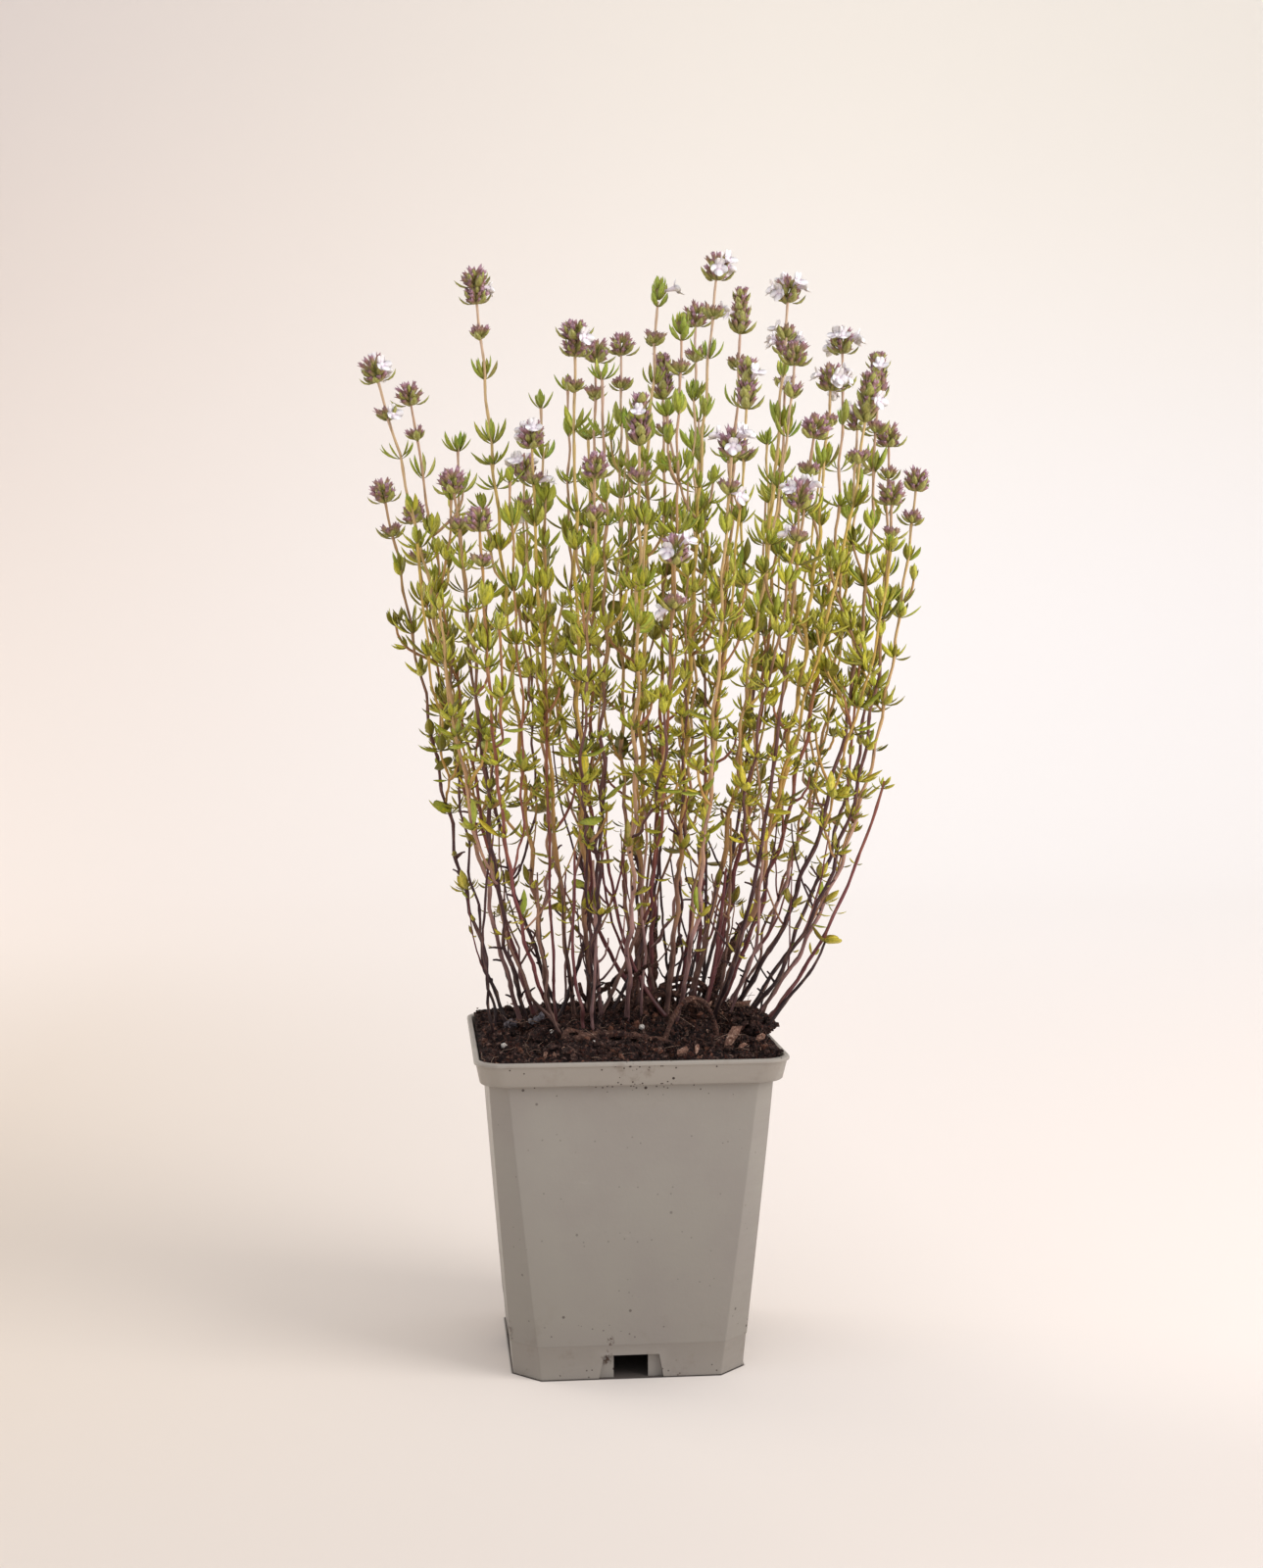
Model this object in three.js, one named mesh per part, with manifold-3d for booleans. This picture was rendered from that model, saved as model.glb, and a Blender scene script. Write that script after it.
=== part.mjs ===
// Common thyme in flower, growing in a square plastic nursery pot.
// Millimetres, +Z up. The table is z = 0, and the origin lies under the middle of the whole plant.
import * as THREE from "three";
import { mergeVertices } from "three/addons/utils/BufferGeometryUtils.js";
import Module from "manifold-3d";

const wasm = await Module();
wasm.setup();

// The pot, measured from its own axis. A half is half the width across two facing sides.
const WALL = 1.1;
const GAP = 0.35;
const POT_HEIGHT = 94;
const RIM_HALF = 45;
const BODY_TOP_HALF = 40.6;
const BODY_BOTTOM_HALF = 33.6;
const BAND_HEIGHT = 7;
const BAND_BOTTOM_HALF = 43.3;
const LIP_HEIGHT = 1.3;
const LIP_WIDTH = 1.6;
const SKIRT_HEIGHT = 9.8;
const SKIRT_STEP = 0.2;
const RIM_CORNER = 8;
const TOP_CHAMFER = 5;
const BOTTOM_CHAMFER = 7.6;
const NOTCH = { width: 10, height: 7, flareTop: 16, flareBottom: 19.2, depth: 1.4 };
const DRAIN = { radius: 3.6, reach: 17 };

// The potting soil: a mound in the middle and a root ball pushed up at the right.
const SOIL_EDGE = 93;
const MOUND = { x: 2, y: 6, height: 6, spread: 21 };
const ROOT_BALL = { x: 32, y: 9, height: 4.5, spread: 8 };

// The plant.
const POT_OFFSET = -11.2;
const SEED = 20;
const BURIED = 11;
const FREE_OF_SOIL = 5;
const STEM_BASE_RADIUS = 0.95;
const STEM_TIP_RADIUS = 0.62;
const STEM_WHORLS = 5;
const SHOOT_WHORLS = 3;
const TWIG_WHORLS = 2;
const TWIG_LENGTH = [22, 36];
const FIRST_LEAVES = [132, 160];
const OUTER = 48;
const SECOND_WHORL = 8;
const BAND = 1.3;
const CLEARANCE = 0.9;
const TRIES = 16;
const LEAF_TRIES = 5;
const LEAF = { length: 8, width: 3.5, thick: 0.8, open: [0.6, 1.15] };
const TOP_LEAF = { length: 6, width: 2.9, thick: 0.8, open: [0.5, 0.85] };
const TUFT_LEAF = { length: 4.6, open: [0.55, 0.9] };
const CALYX = { length: 3.6, open: [0.7, 1.1] };
const HEAD = { width: 8.8, height: 8.4, core: 0.66 };
const PETAL = { length: 3.6, width: 2.8, thick: 0.75 };
const FLOWERS_ON_HEAD = 2;
const RUNNER_RADIUS = 0.9;
const RUNNER = [[10, -22, 90], [13, -21, 112], [26, -16, 114], [28, -14, 91]];

// Each plant: where its stem leaves the soil, how thick it is, how much of its lean it takes in its
// lowest quarter, then the tip of the stem and of each shoot that forks from it. A tip is
// [x, y, z, what it carries, share of the stem below the fork].
const PLANTS = [
  { root: [-33, 11], thick: 0.95, lean: 0.45, tips: [[-70, 14, 257, "head", 0], [-60, -6, 243, "leafy", 0.45]] },
  { root: [-29, 18], thick: 1.1, lean: 0.38, tips: [[-72, -2, 291, "bloom", 0], [-61, 30, 252, "head", 0.3]] },
  { root: [-24, 24], thick: 1, lean: 0.45, tips: [[-62, 22, 287, "head", 0], [-55, 50, 229, "leafy", 0.2]] },
  { root: [-27, 5], thick: 1, lean: 0.7, tips: [[-50, -24, 257, "head", 0], [-54, -37, 222, "leafy", 0.3]] },
  { root: [-20, 14], thick: 1.2, lean: 0.4, tips: [[-43, -12, 314, "tall", 0], [-28, 10, 264, "bloom", 0.15]] },
  { root: [-16, 29], thick: 1, lean: 0.7, tips: [[-47, 41, 274, "leafy", 0], [-26, 52, 258, "leafy", 0.25]] },
  { root: [-19, 0], thick: 0.9, lean: 0.7, tips: [[-43, -42, 245, "head", 0], [-34, -31, 258, "leafy", 0.35]] },
  { root: [-13, 9], thick: 1.1, lean: 0.5, tips: [[-27, -16, 271, "bloom", 0]] },
  { root: [-8, 1], thick: 1, lean: 0.6, tips: [[-9, -40, 286, "leafy", 0], [-12, -53, 259, "head", 0.3]] },
  { root: [-8, 14], thick: 1.25, lean: 0.5, tips: [[-15, -22, 298, "tall", 0]] },
  { root: [-3, 28], thick: 1, lean: 0.7, tips: [[-12, 46, 294, "leafy", 0], [-18, 58, 242, "leafy", 0.3]] },
  { root: [-8, 20], thick: 1.05, lean: 0.5, tips: [[-6, 10, 299, "head", 0], [-22, 24, 286, "leafy", 0.1]] },
  { root: [5, 24], thick: 1.1, lean: 0.5, tips: [[4, 35, 305, "head", 0], [-7, 29, 277, "leafy", 0.4]] },
  { root: [6, 10], thick: 1.3, lean: 0.5, tips: [[11, -5, 314, "tall", 0], [14, -35, 299, "head", 0.12]] },
  { root: [2, -1], thick: 1.1, lean: 0.6, tips: [[1, -47, 272, "big", 0], [9, -61, 236, "bloom", 0.35]] },
  { root: [11, 18], thick: 1.15, lean: 0.5, tips: [[15, 19, 293, "big", 0], [24, 9, 310, "head", 0.1]] },
  { root: [11, 30], thick: 0.95, lean: 0.7, tips: [[8, 60, 284, "leafy", 0], [31, 51, 280, "leafy", 0.15]] },
  { root: [15, 7], thick: 1.25, lean: 0.5, tips: [[27, -15, 320, "bloom", 0]] },
  { root: [17, -1], thick: 1, lean: 0.65, tips: [[25, -57, 265, "bloom", 0], [33, -33, 284, "big", 0.15]] },
  { root: [20, 23], thick: 1.1, lean: 0.55, tips: [[40, 24, 314, "big", 0]] },
  { root: [22, 12], thick: 1.4, lean: 0.6, tips: [[50, -3, 316, "bloom", 0], [48, -25, 294, "head", 0.35]] },
  { root: [28, 17], thick: 1.1, lean: 0.6, tips: [[56, 34, 306, "bloom", 0]] },
  { root: [28, 0], thick: 1, lean: 0.7, tips: [[50, -46, 271, "head", 0], [43, -60, 251, "bloom", 0.3]] },
  { root: [26, 29], thick: 1, lean: 0.7, tips: [[54, 59, 262, "leafy", 0], [72, 58, 272, "leafy", 0.3]] },
  { root: [33, 21], thick: 1.15, lean: 0.65, tips: [[70, 15, 304, "bloom", 0]] },
  { root: [30, 6], thick: 1.35, lean: 0.7, tips: [[61, -13, 289, "bloom", 0], [68, -31, 281, "big", 0.3]] },
  { root: [36, 14], thick: 1.2, lean: 0.72, tips: [[77, -3, 291, "big", 0]] },
  { root: [35, 26], thick: 1, lean: 0.7, tips: [[79, 34, 283, "bloom", 0], [84, 47, 270, "head", 0.4]] },
  { root: [40, 18], thick: 1, lean: 0.74, tips: [[86, 21, 276, "head", 0]] },
  { root: [41, 10], thick: 1, lean: 0.72, tips: [[91, 4, 261, "head", 0], [76, 12, 217, "leafy", 0.4]] },
  { root: [37, 3], thick: 0.95, lean: 0.74, tips: [[78, -19, 255, "head", 0], [74, -36, 240, "leafy", 0.35]] },
];

const COLOURS = {
  pot: 0x8f8a84,
  soil: 0x2c211d,
  sprig: 0x73803a,
  head: 0x75605f,
  runner: 0x4a352b,
};

// A stream of numbers from 0 to 1, the same for the same seed.
function draws(seed) {
  let state = seed >>> 0;
  return () => {
    state = (state + 0x6d2b79f5) >>> 0;
    let t = Math.imul(state ^ (state >>> 15), 1 | state);
    t = (t + Math.imul(t ^ (t >>> 7), 61 | t)) ^ t;
    return ((t ^ (t >>> 14)) >>> 0) / 4294967296;
  };
}

function between(draw, low, high) {
  return low + (high - low) * draw();
}

// Makes a solid of a closed set of points and triangles, turned to face outwards.
function solidOf(points, triangles) {
  const geometry = new THREE.BufferGeometry().setFromPoints(points).setIndex(triangles.flat());
  const merged = mergeVertices(geometry, 1e-4);
  const made = new wasm.Manifold(
    new wasm.Mesh({
      numProp: 3,
      vertProperties: new Float32Array(merged.attributes.position.array),
      triVerts: new Uint32Array(merged.index.array),
    }),
  );
  if (made.volume() > 0) return made;
  return solidOf(points, triangles.map(([a, b, c]) => [a, c, b]));
}

function join(solids) {
  return wasm.Manifold.union(solids);
}

// Drops edges far too short to see, and leaves one body: a scrap that touches nothing is dropped.
function tidied(solid) {
  const bodies = solid.simplify(0.01).decompose();
  return bodies.reduce((best, body) => (body.volume() > best.volume() ? body : best));
}

function meshOf(name, solid, colour, roughness) {
  const { vertProperties, triVerts } = tidied(solid).getMesh();
  const geometry = new THREE.BufferGeometry();
  geometry.setAttribute("position", new THREE.BufferAttribute(vertProperties, 3));
  geometry.setIndex(new THREE.BufferAttribute(triVerts, 1));
  geometry.computeVertexNormals();
  const material = new THREE.MeshStandardMaterial({ color: colour, roughness, metalness: 0 });
  const mesh = new THREE.Mesh(geometry, material);
  mesh.name = name;
  return mesh;
}

// Skins rings of equal length in order. A ring of one point is a pole that closes an end.
function loft(rings) {
  const points = rings.flat();
  const triangles = [];
  let first = 0;
  rings.slice(1).forEach((ring, i) => {
    const below = rings[i];
    const next = first + below.length;
    const count = Math.max(below.length, ring.length);
    for (let k = 0; k < count; k++) {
      const a = first + (k % below.length);
      const b = first + ((k + 1) % below.length);
      const c = next + (k % ring.length);
      const d = next + ((k + 1) % ring.length);
      if (a !== b) triangles.push([a, b, d]);
      if (c !== d) triangles.push([a, d, c]);
    }
    first = next;
  });
  return solidOf(points, triangles);
}

// Pot

// A square outline with cut corners. Bulge 0 leaves each cut flat, and 1 rounds it to an arc.
// Extra points along each side let a surface over it rise and fall.
function square(half, cut, z, bulge = 0, along = 0) {
  const steps = 3;
  const ring = [];
  for (let corner = 0; corner < 4; corner++) {
    const turn = (corner * Math.PI) / 2;
    const place = (x, y) =>
      ring.push(
        new THREE.Vector3(
          x * Math.cos(turn) - y * Math.sin(turn),
          x * Math.sin(turn) + y * Math.cos(turn),
          z,
        ),
      );
    for (let i = 0; i <= steps; i++) {
      const share = i / steps;
      const angle = (share * Math.PI) / 2;
      const flat = [half - cut * share, half - cut * (1 - share)];
      const arc = [half - cut + cut * Math.cos(angle), half - cut + cut * Math.sin(angle)];
      place(flat[0] + (arc[0] - flat[0]) * bulge, flat[1] + (arc[1] - flat[1]) * bulge);
    }
    const side = half - cut;
    for (let i = 1; i <= along; i++) place(side - (2 * side * i) / (along + 1), half);
  }
  return ring;
}

// Half the body's outer width at a height, and the size of its corner chamfer there.
function bodyHalf(z) {
  const share = z / (POT_HEIGHT - BAND_HEIGHT);
  return BODY_BOTTOM_HALF + (BODY_TOP_HALF - BODY_BOTTOM_HALF) * share;
}

function bodyChamfer(z) {
  const share = z / (POT_HEIGHT - BAND_HEIGHT);
  return BOTTOM_CHAMFER + (TOP_CHAMFER - BOTTOM_CHAMFER) * share;
}

// A ring of the body at a height, inset from its outer face.
function bodyRing(z, inset) {
  return square(bodyHalf(z) - inset, bodyChamfer(z) - inset * 0.6, z);
}

function block(width, depth, height, x, y, z) {
  const rings = [z, z + height].map((level) =>
    [[-1, -1], [1, -1], [1, 1], [-1, 1]].map(
      ([i, j]) => new THREE.Vector3(x + (i * width) / 2, y + (j * depth) / 2, level),
    ),
  );
  const middle = (level) => [new THREE.Vector3(x, y, level)];
  return loft([middle(z), ...rings, middle(z + height)]);
}

// A trapezoid slab standing on the table across the front side, from y = near to y = far.
function flare(bottom, top, height, near, far) {
  const outline = [[-bottom / 2, -1], [bottom / 2, -1], [top / 2, height], [-top / 2, height]];
  const rings = [near, far].map((y) => outline.map(([x, z]) => new THREE.Vector3(x, y, z)));
  const middle = (y) => [new THREE.Vector3(0, y, height / 2)];
  return loft([middle(near), ...rings, middle(far)]);
}

function quarterTurns(solid) {
  return [0, 90, 180, 270].map((angle) => solid.rotate([0, 0, angle]));
}

function potSolid() {
  const bandBottom = POT_HEIGHT - BAND_HEIGHT;
  const lipBottom = POT_HEIGHT - LIP_HEIGHT;
  const floorTop = SKIRT_HEIGHT;
  const floorUnder = SKIRT_HEIGHT - WALL;
  const rim = (half, z) => square(half, RIM_CORNER, z, 1);
  const shell = loft([
    [new THREE.Vector3(0, 0, floorUnder)],
    bodyRing(floorUnder, WALL),
    bodyRing(0, WALL),
    bodyRing(0, 0),
    bodyRing(SKIRT_HEIGHT, 0),
    bodyRing(SKIRT_HEIGHT + 0.3, -SKIRT_STEP),
    bodyRing(bandBottom, -SKIRT_STEP),
    rim(BAND_BOTTOM_HALF, bandBottom),
    rim(RIM_HALF - 0.5, lipBottom),
    rim(RIM_HALF, lipBottom + 0.2),
    rim(RIM_HALF, POT_HEIGHT),
    rim(RIM_HALF - LIP_WIDTH, POT_HEIGHT),
    rim(BAND_BOTTOM_HALF - WALL, bandBottom + WALL),
    bodyRing(bandBottom - WALL, WALL),
    bodyRing(floorTop, WALL),
    [new THREE.Vector3(0, 0, floorTop)],
  ]);
  const face = BODY_BOTTOM_HALF;
  const near = -face - 3;
  const recessBack = -face + NOTCH.depth;
  const flapBack = recessBack + WALL;
  const backing = flare(NOTCH.flareBottom + 2 * WALL, NOTCH.flareTop + 2 * WALL, floorUnder + 0.2, -face + WALL / 2, flapBack)
    .trimByPlane([0, 0, 1], 0);
  const recess = flare(NOTCH.flareBottom, NOTCH.flareTop, NOTCH.height, near, recessBack);
  const opening = block(NOTCH.width, 12, NOTCH.height + 1, 0, -face, -1);
  const drain = wasm.Manifold.union(
    [[1, 1], [1, -1], [-1, 1], [-1, -1]].map(([i, j]) => {
      const x = i * DRAIN.reach;
      const y = j * DRAIN.reach;
      const circle = (z) =>
        Array.from({ length: 8 }, (_, k) => {
          const angle = (k / 8) * 2 * Math.PI;
          return new THREE.Vector3(
            x + DRAIN.radius * Math.cos(angle),
            y + DRAIN.radius * Math.sin(angle),
            z,
          );
        });
      const middle = (z) => [new THREE.Vector3(x, y, z)];
      const low = floorUnder - 1;
      const high = floorTop + 1;
      return loft([middle(low), circle(low), circle(high), middle(high)]);
    }),
  );
  return join([shell, ...quarterTurns(backing)])
    .subtract(join([...quarterTurns(recess), ...quarterTurns(opening), drain]));
}

// Soil

function bump(hill, x, y) {
  const far = (x - hill.x) ** 2 + (y - hill.y) ** 2;
  return hill.height * Math.exp(-far / (2 * hill.spread ** 2));
}

// Height of the soil's surface. It dips to its edge height where it meets the rim.
function soilHeight(x, y) {
  const edge = RIM_HALF - LIP_WIDTH;
  const inside = Math.min(1, Math.max(0, (edge - Math.max(Math.abs(x), Math.abs(y))) / 9));
  const crumbs = 0.55 * Math.sin(0.41 * x + 1.3) * Math.sin(0.37 * y + 0.4);
  const clods = 0.45 * Math.sin(0.83 * x - 0.6 * y);
  return SOIL_EDGE + inside * (bump(MOUND, x, y) + bump(ROOT_BALL, x, y) + crumbs + clods);
}

function soilSolid(holes) {
  const along = 3;
  const bandBottom = POT_HEIGHT - BAND_HEIGHT;
  const edgeHalf = RIM_HALF - LIP_WIDTH - GAP;
  const inBody = (z) =>
    square(bodyHalf(z) - WALL - GAP, bodyChamfer(z) - 0.6 * (WALL + GAP), z, 0, along);
  const ledge = square(BAND_BOTTOM_HALF - WALL - 0.6, RIM_CORNER, bandBottom + WALL + 1.3, 1, along);
  const edge = square(edgeHalf - 0.2, RIM_CORNER, SOIL_EDGE, 1, along);
  const surface = [0.86, 0.7, 0.53, 0.36, 0.18].map((share) =>
    square(edgeHalf * share, RIM_CORNER * share, 0, 1, along).map(
      (p) => new THREE.Vector3(p.x, p.y, soilHeight(p.x, p.y)),
    ),
  );
  const bottom = SKIRT_HEIGHT + GAP;
  const body = loft([
    [new THREE.Vector3(0, 0, bottom)],
    inBody(bottom),
    inBody(bandBottom - WALL + 0.5),
    ledge,
    edge,
    ...surface,
    [new THREE.Vector3(0, 0, soilHeight(0, 0))],
  ]);
  return body.subtract(join(holes));
}

// Stems

const UP = new THREE.Vector3(0, 0, 1);

// One stretch of a stem, or one line of a leaf, with a radius round it.
function rod(a, b, radius) {
  const middle = a.clone().add(b).multiplyScalar(0.5);
  return { a, b, radius, middle, reach: a.distanceTo(b) / 2 + radius };
}

function rodsAlong(points, radii) {
  return points.slice(1).map((p, i) => rod(points[i], p, Math.max(radii[i], radii[i + 1])));
}

// The distance between the middle lines of two rods.
function rodDistance(first, second) {
  const u = first.b.clone().sub(first.a);
  const v = second.b.clone().sub(second.a);
  const w = first.a.clone().sub(second.a);
  const uu = u.dot(u) + 1e-9;
  const uv = u.dot(v);
  const vv = v.dot(v) + 1e-9;
  const uw = u.dot(w);
  const vw = v.dot(w);
  const clamp = (x) => Math.min(1, Math.max(0, x));
  const start = clamp((uv * vw - vv * uw) / Math.max(1e-9, uu * vv - uv * uv));
  const t = clamp((uv * start + vw) / vv);
  const s = clamp((uv * t - uw) / uu);
  return w.addScaledVector(u, s).addScaledVector(v, -t).length();
}

// What is already placed, so that what follows can be kept clear of it. Each rod is kept with the
// plant and the branch that it belongs to.
const placed = [];

function place(rods, owner, branch) {
  rods.forEach((each) => placed.push({ owner, branch, ...each }));
}

// The least free gap between some rods and the placed ones, but for those that are its own.
function freeGap(rods, isOwn) {
  let least = Infinity;
  for (const mine of rods) {
    for (const other of placed) {
      if (isOwn(other)) continue;
      if (mine.middle.distanceTo(other.middle) - mine.reach - other.reach > least) continue;
      least = Math.min(least, rodDistance(mine, other) - mine.radius - other.radius);
    }
  }
  return least;
}

// Draws a line again until it clears the other plants, and keeps the clearest one.
function bentClear(owner, make) {
  let best = null;
  for (let i = 0; i < TRIES; i++) {
    const branch = make();
    const rods = rodsAlong(branch.points, branch.radii);
    const gap = freeGap(rods, (other) => other.owner === owner);
    if (!best || gap > best.gap) best = { ...branch, rods, gap };
    if (gap > CLEARANCE) break;
  }
  return best;
}

// A branch: points along its line, its radius at each, and which points start a whorl.
function branchOf(curve, before, whorls, band, radiusAt) {
  const reach = curve.getLength();
  const half = band / 2 / reach;
  const plain = before.length ? [0.12] : [];
  const steps = [0, ...plain, ...whorls.flatMap((t) => [t - half, t + half]), 1];
  const points = [...before, ...steps.map((t) => curve.getPoint(t))];
  const radii = [...before.map(() => radiusAt(0)), ...steps.map(radiusAt)];
  const first = before.length + 1 + plain.length;
  return { points, radii, bands: whorls.map((_, i) => first + 2 * i) };
}

function spread(count, low, high, draw) {
  const gap = (high - low) / Math.max(1, count - 1);
  return Array.from({ length: count }, (_, i) => {
    const loose = i === 0 || i === count - 1 ? 0 : 0.22;
    return low + gap * (i + between(draw, -loose, loose));
  });
}

// Where the topmost whorl stands: at the very end, or lower to leave room for the head.
function topShare(kind, reach) {
  return kind === "leafy" ? 1 - 2 / reach : 1 - (SECOND_WHORL + headSize(kind).tall) / reach;
}

// A stem leaves the soil straight, leans out early and then rises.
function stem({ root, thick, lean, tips }, draw) {
  const [x, y, z, kind] = tips[0];
  const tip = new THREE.Vector3(x, y, z);
  const exit = new THREE.Vector3(root[0], root[1], soilHeight(root[0], root[1]));
  const rise = tip.clone().sub(exit);
  const early = lean + between(draw, -0.1, 0.1);
  const late = Math.min(0.97, early + between(draw, 0.1, 0.3));
  const sway = new THREE.Vector3(between(draw, -4, 4), between(draw, -4, 4), 0);
  const first = new THREE.Vector3(rise.x * early, rise.y * early, rise.z * 0.28);
  const last = new THREE.Vector3(rise.x * late, rise.y * late, rise.z * 0.64);
  const aim = first.clone().normalize();
  const start = exit.clone().addScaledVector(aim, -BURIED);
  const out = exit.clone().addScaledVector(aim, FREE_OF_SOIL);
  const curve = new THREE.CubicBezierCurve3(out, exit.clone().add(first), exit.clone().add(last).add(sway), tip);
  const low = (between(draw, ...FIRST_LEAVES) - out.z) / (tip.z - out.z);
  const whorls = spread(STEM_WHORLS, low, topShare(kind, curve.getLength()), draw);
  const radiusAt = (t) => STEM_BASE_RADIUS * thick * (1 - t) + STEM_TIP_RADIUS * t;
  return { ...branchOf(curve, [start], whorls, BAND, radiusAt), curve, radiusAt, kind };
}

// A shoot leaves its stem sideways and soon turns upwards.
function shoot(parent, share, tip, kind, count, draw) {
  const point = parent.curve.getPoint(share);
  const along = parent.curve.getTangent(share);
  const reach = tip.distanceTo(point);
  const away = tip.clone().sub(point);
  away.addScaledVector(along, -away.dot(along)).normalize();
  const start = along.clone().multiplyScalar(0.5).add(away).normalize();
  const first = point.clone().addScaledVector(start, between(draw, 0.12, 0.22) * reach);
  const rising = tip.clone().sub(point).normalize().lerp(UP, between(draw, 0.3, 0.8)).normalize();
  const last = tip.clone().addScaledVector(rising, -between(draw, 0.3, 0.5) * reach);
  const curve = new THREE.CubicBezierCurve3(point, first, last, tip);
  const top = topShare(kind, curve.getLength());
  const whorls = spread(count, count > 2 ? 0.34 : 0.52, top, draw);
  const base = Math.min(parent.radiusAt(share) * 0.68, STEM_TIP_RADIUS * 1.2);
  const radiusAt = (t) => Math.max(base * (1 - t), 0) + STEM_TIP_RADIUS * 0.95 * t;
  return { ...branchOf(curve, [], whorls, BAND, radiusAt), curve, radiusAt, kind };
}

// A twig is a short leafy shoot in any direction, but inwards on the plants at either side.
function twig(parent, share, draw) {
  const turn = between(draw, 0, 2 * Math.PI);
  const reach = between(draw, ...TWIG_LENGTH);
  const out = reach * between(draw, 0.25, 0.5);
  const base = parent.curve.getPoint(share);
  let aside = Math.cos(turn);
  if (Math.abs(base.x) > OUTER) aside = -Math.abs(aside) * Math.sign(base.x);
  const tip = new THREE.Vector3(aside * out, Math.sin(turn) * out, reach).add(base);
  return shoot(parent, share, tip, "leafy", TWIG_WHORLS, draw);
}

const HEAD_SHAPES = {
  head: { wide: 0.5, tall: 0.5 },
  bloom: { wide: 0.5, tall: 0.56 },
  tall: { wide: 0.48, tall: 0.6 },
  big: { wide: 0.56, tall: 0.9 },
};

// Half the width and half the height of the head that a kind of tip carries.
function headSize(kind) {
  const shape = HEAD_SHAPES[kind];
  return { wide: shape.wide * HEAD.width, tall: shape.tall * HEAD.height };
}

function headRods([x, y, z, kind]) {
  const { wide, tall } = headSize(kind);
  const spare = Math.max(0.3, tall - wide);
  const middle = new THREE.Vector3(x, y, z);
  const low = middle.clone().addScaledVector(UP, -spare);
  const high = middle.clone().addScaledVector(UP, spare);
  return [rod(low, high, wide)];
}

// Works out the lines of every stem, then of the shoots, then of the twigs.
function growPlants() {
  PLANTS.forEach(({ tips }, owner) =>
    tips.filter((tip) => tip[3] !== "leafy").forEach((tip) => place(headRods(tip), owner)),
  );
  const keep = (owner, branches, branch) => {
    place(branch.rods, owner, branch.curve);
    branches.push(branch);
  };
  const plants = PLANTS.map((plant, owner) => {
    const draw = draws(SEED * 1000 + owner);
    const branches = [];
    keep(owner, branches, bentClear(owner, () => stem(plant, draw)));
    return { draw, branches };
  });
  PLANTS.forEach(({ tips }, owner) => {
    const { draw, branches } = plants[owner];
    tips.slice(1).forEach(([x, y, z, kind, share]) => {
      const tip = new THREE.Vector3(x, y, z);
      const make = () => shoot(branches[0], share, tip, kind, SHOOT_WHORLS, draw);
      keep(owner, branches, bentClear(owner, make));
    });
  });
  plants.forEach(({ draw, branches }, owner) => {
    const shares = branches.length > 1 ? [0.55] : [0.42, 0.6];
    shares.forEach((low) => {
      const share = between(draw, low, low + 0.14);
      const made = bentClear(owner, () => twig(branches[0], share, draw));
      if (made.gap > CLEARANCE / 2) keep(owner, branches, made);
    });
  });
  return plants;
}

// A square of points round each point of a branch.
function squareRings({ points, radii }) {
  let side = new THREE.Vector3(1, 0, 0);
  return points.map((point, i) => {
    const before = points[Math.max(0, i - 1)];
    const after = points[Math.min(points.length - 1, i + 1)];
    const along = after.clone().sub(before).normalize();
    side = side.clone().addScaledVector(along, -side.dot(along)).normalize();
    const across = along.clone().cross(side);
    return Array.from({ length: 4 }, (_, k) => {
      const angle = ((k + 0.5) / 4) * 2 * Math.PI;
      return point
        .clone()
        .addScaledVector(side, radii[i] * Math.cos(angle))
        .addScaledVector(across, radii[i] * Math.sin(angle));
    });
  });
}

// The free corners of a leaf that grows out of one face of a band of the stem. One with no width
// is a plain spike with only a tip, as the small leaves of a tuft and the calyces are.
function leafCorners([a, b, c, d], along, size, open, yaw) {
  const middle = a.clone().add(b).add(c).add(d).multiplyScalar(0.25);
  const side = b.clone().sub(a).normalize();
  const out = side.clone().cross(along).normalize();
  const facing = out.clone().multiplyScalar(Math.cos(yaw)).addScaledVector(side, Math.sin(yaw));
  const across = side.clone().multiplyScalar(Math.cos(yaw)).addScaledVector(out, -Math.sin(yaw));
  const forward = along.clone().multiplyScalar(Math.cos(open)).addScaledVector(facing, Math.sin(open));
  const above = along.clone().multiplyScalar(Math.sin(open)).addScaledVector(facing, -Math.cos(open));
  const at = (far, aside, lift) =>
    middle
      .clone()
      .addScaledVector(forward, far)
      .addScaledVector(across, aside)
      .addScaledVector(above, lift);
  const sides = size.width ? [-size.width / 2, size.width / 2] : [];
  return {
    root: middle,
    sides: sides.map((aside) => at(size.length * 0.5, aside, size.thick * 0.6)),
    tip: at(size.length, 0, 0),
  };
}

function leafRods({ root, sides, tip }) {
  const spine = rod(root.clone().lerp(tip, 0.12), tip, 0.5);
  return sides.length ? [spine, rod(...sides, 0.4)] : [spine];
}

// Grows a leaf out of a face if one fits clear of the other plants.
function leaf(owner, branch, face, along, sizes, draw) {
  for (let i = 0; i < LEAF_TRIES; i++) {
    const grow = between(draw, 0.85, 1.15) * (1 - 0.07 * i);
    const size = { ...sizes, length: sizes.length * grow };
    const open = between(draw, ...sizes.open);
    const corners = leafCorners(face, along, size, open, between(draw, -0.35, 0.35));
    const rods = leafRods(corners);
    if (freeGap(rods, (other) => other.branch === branch.curve) < GAP) continue;
    place(rods, owner, branch.curve);
    return corners;
  }
  return null;
}

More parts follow.
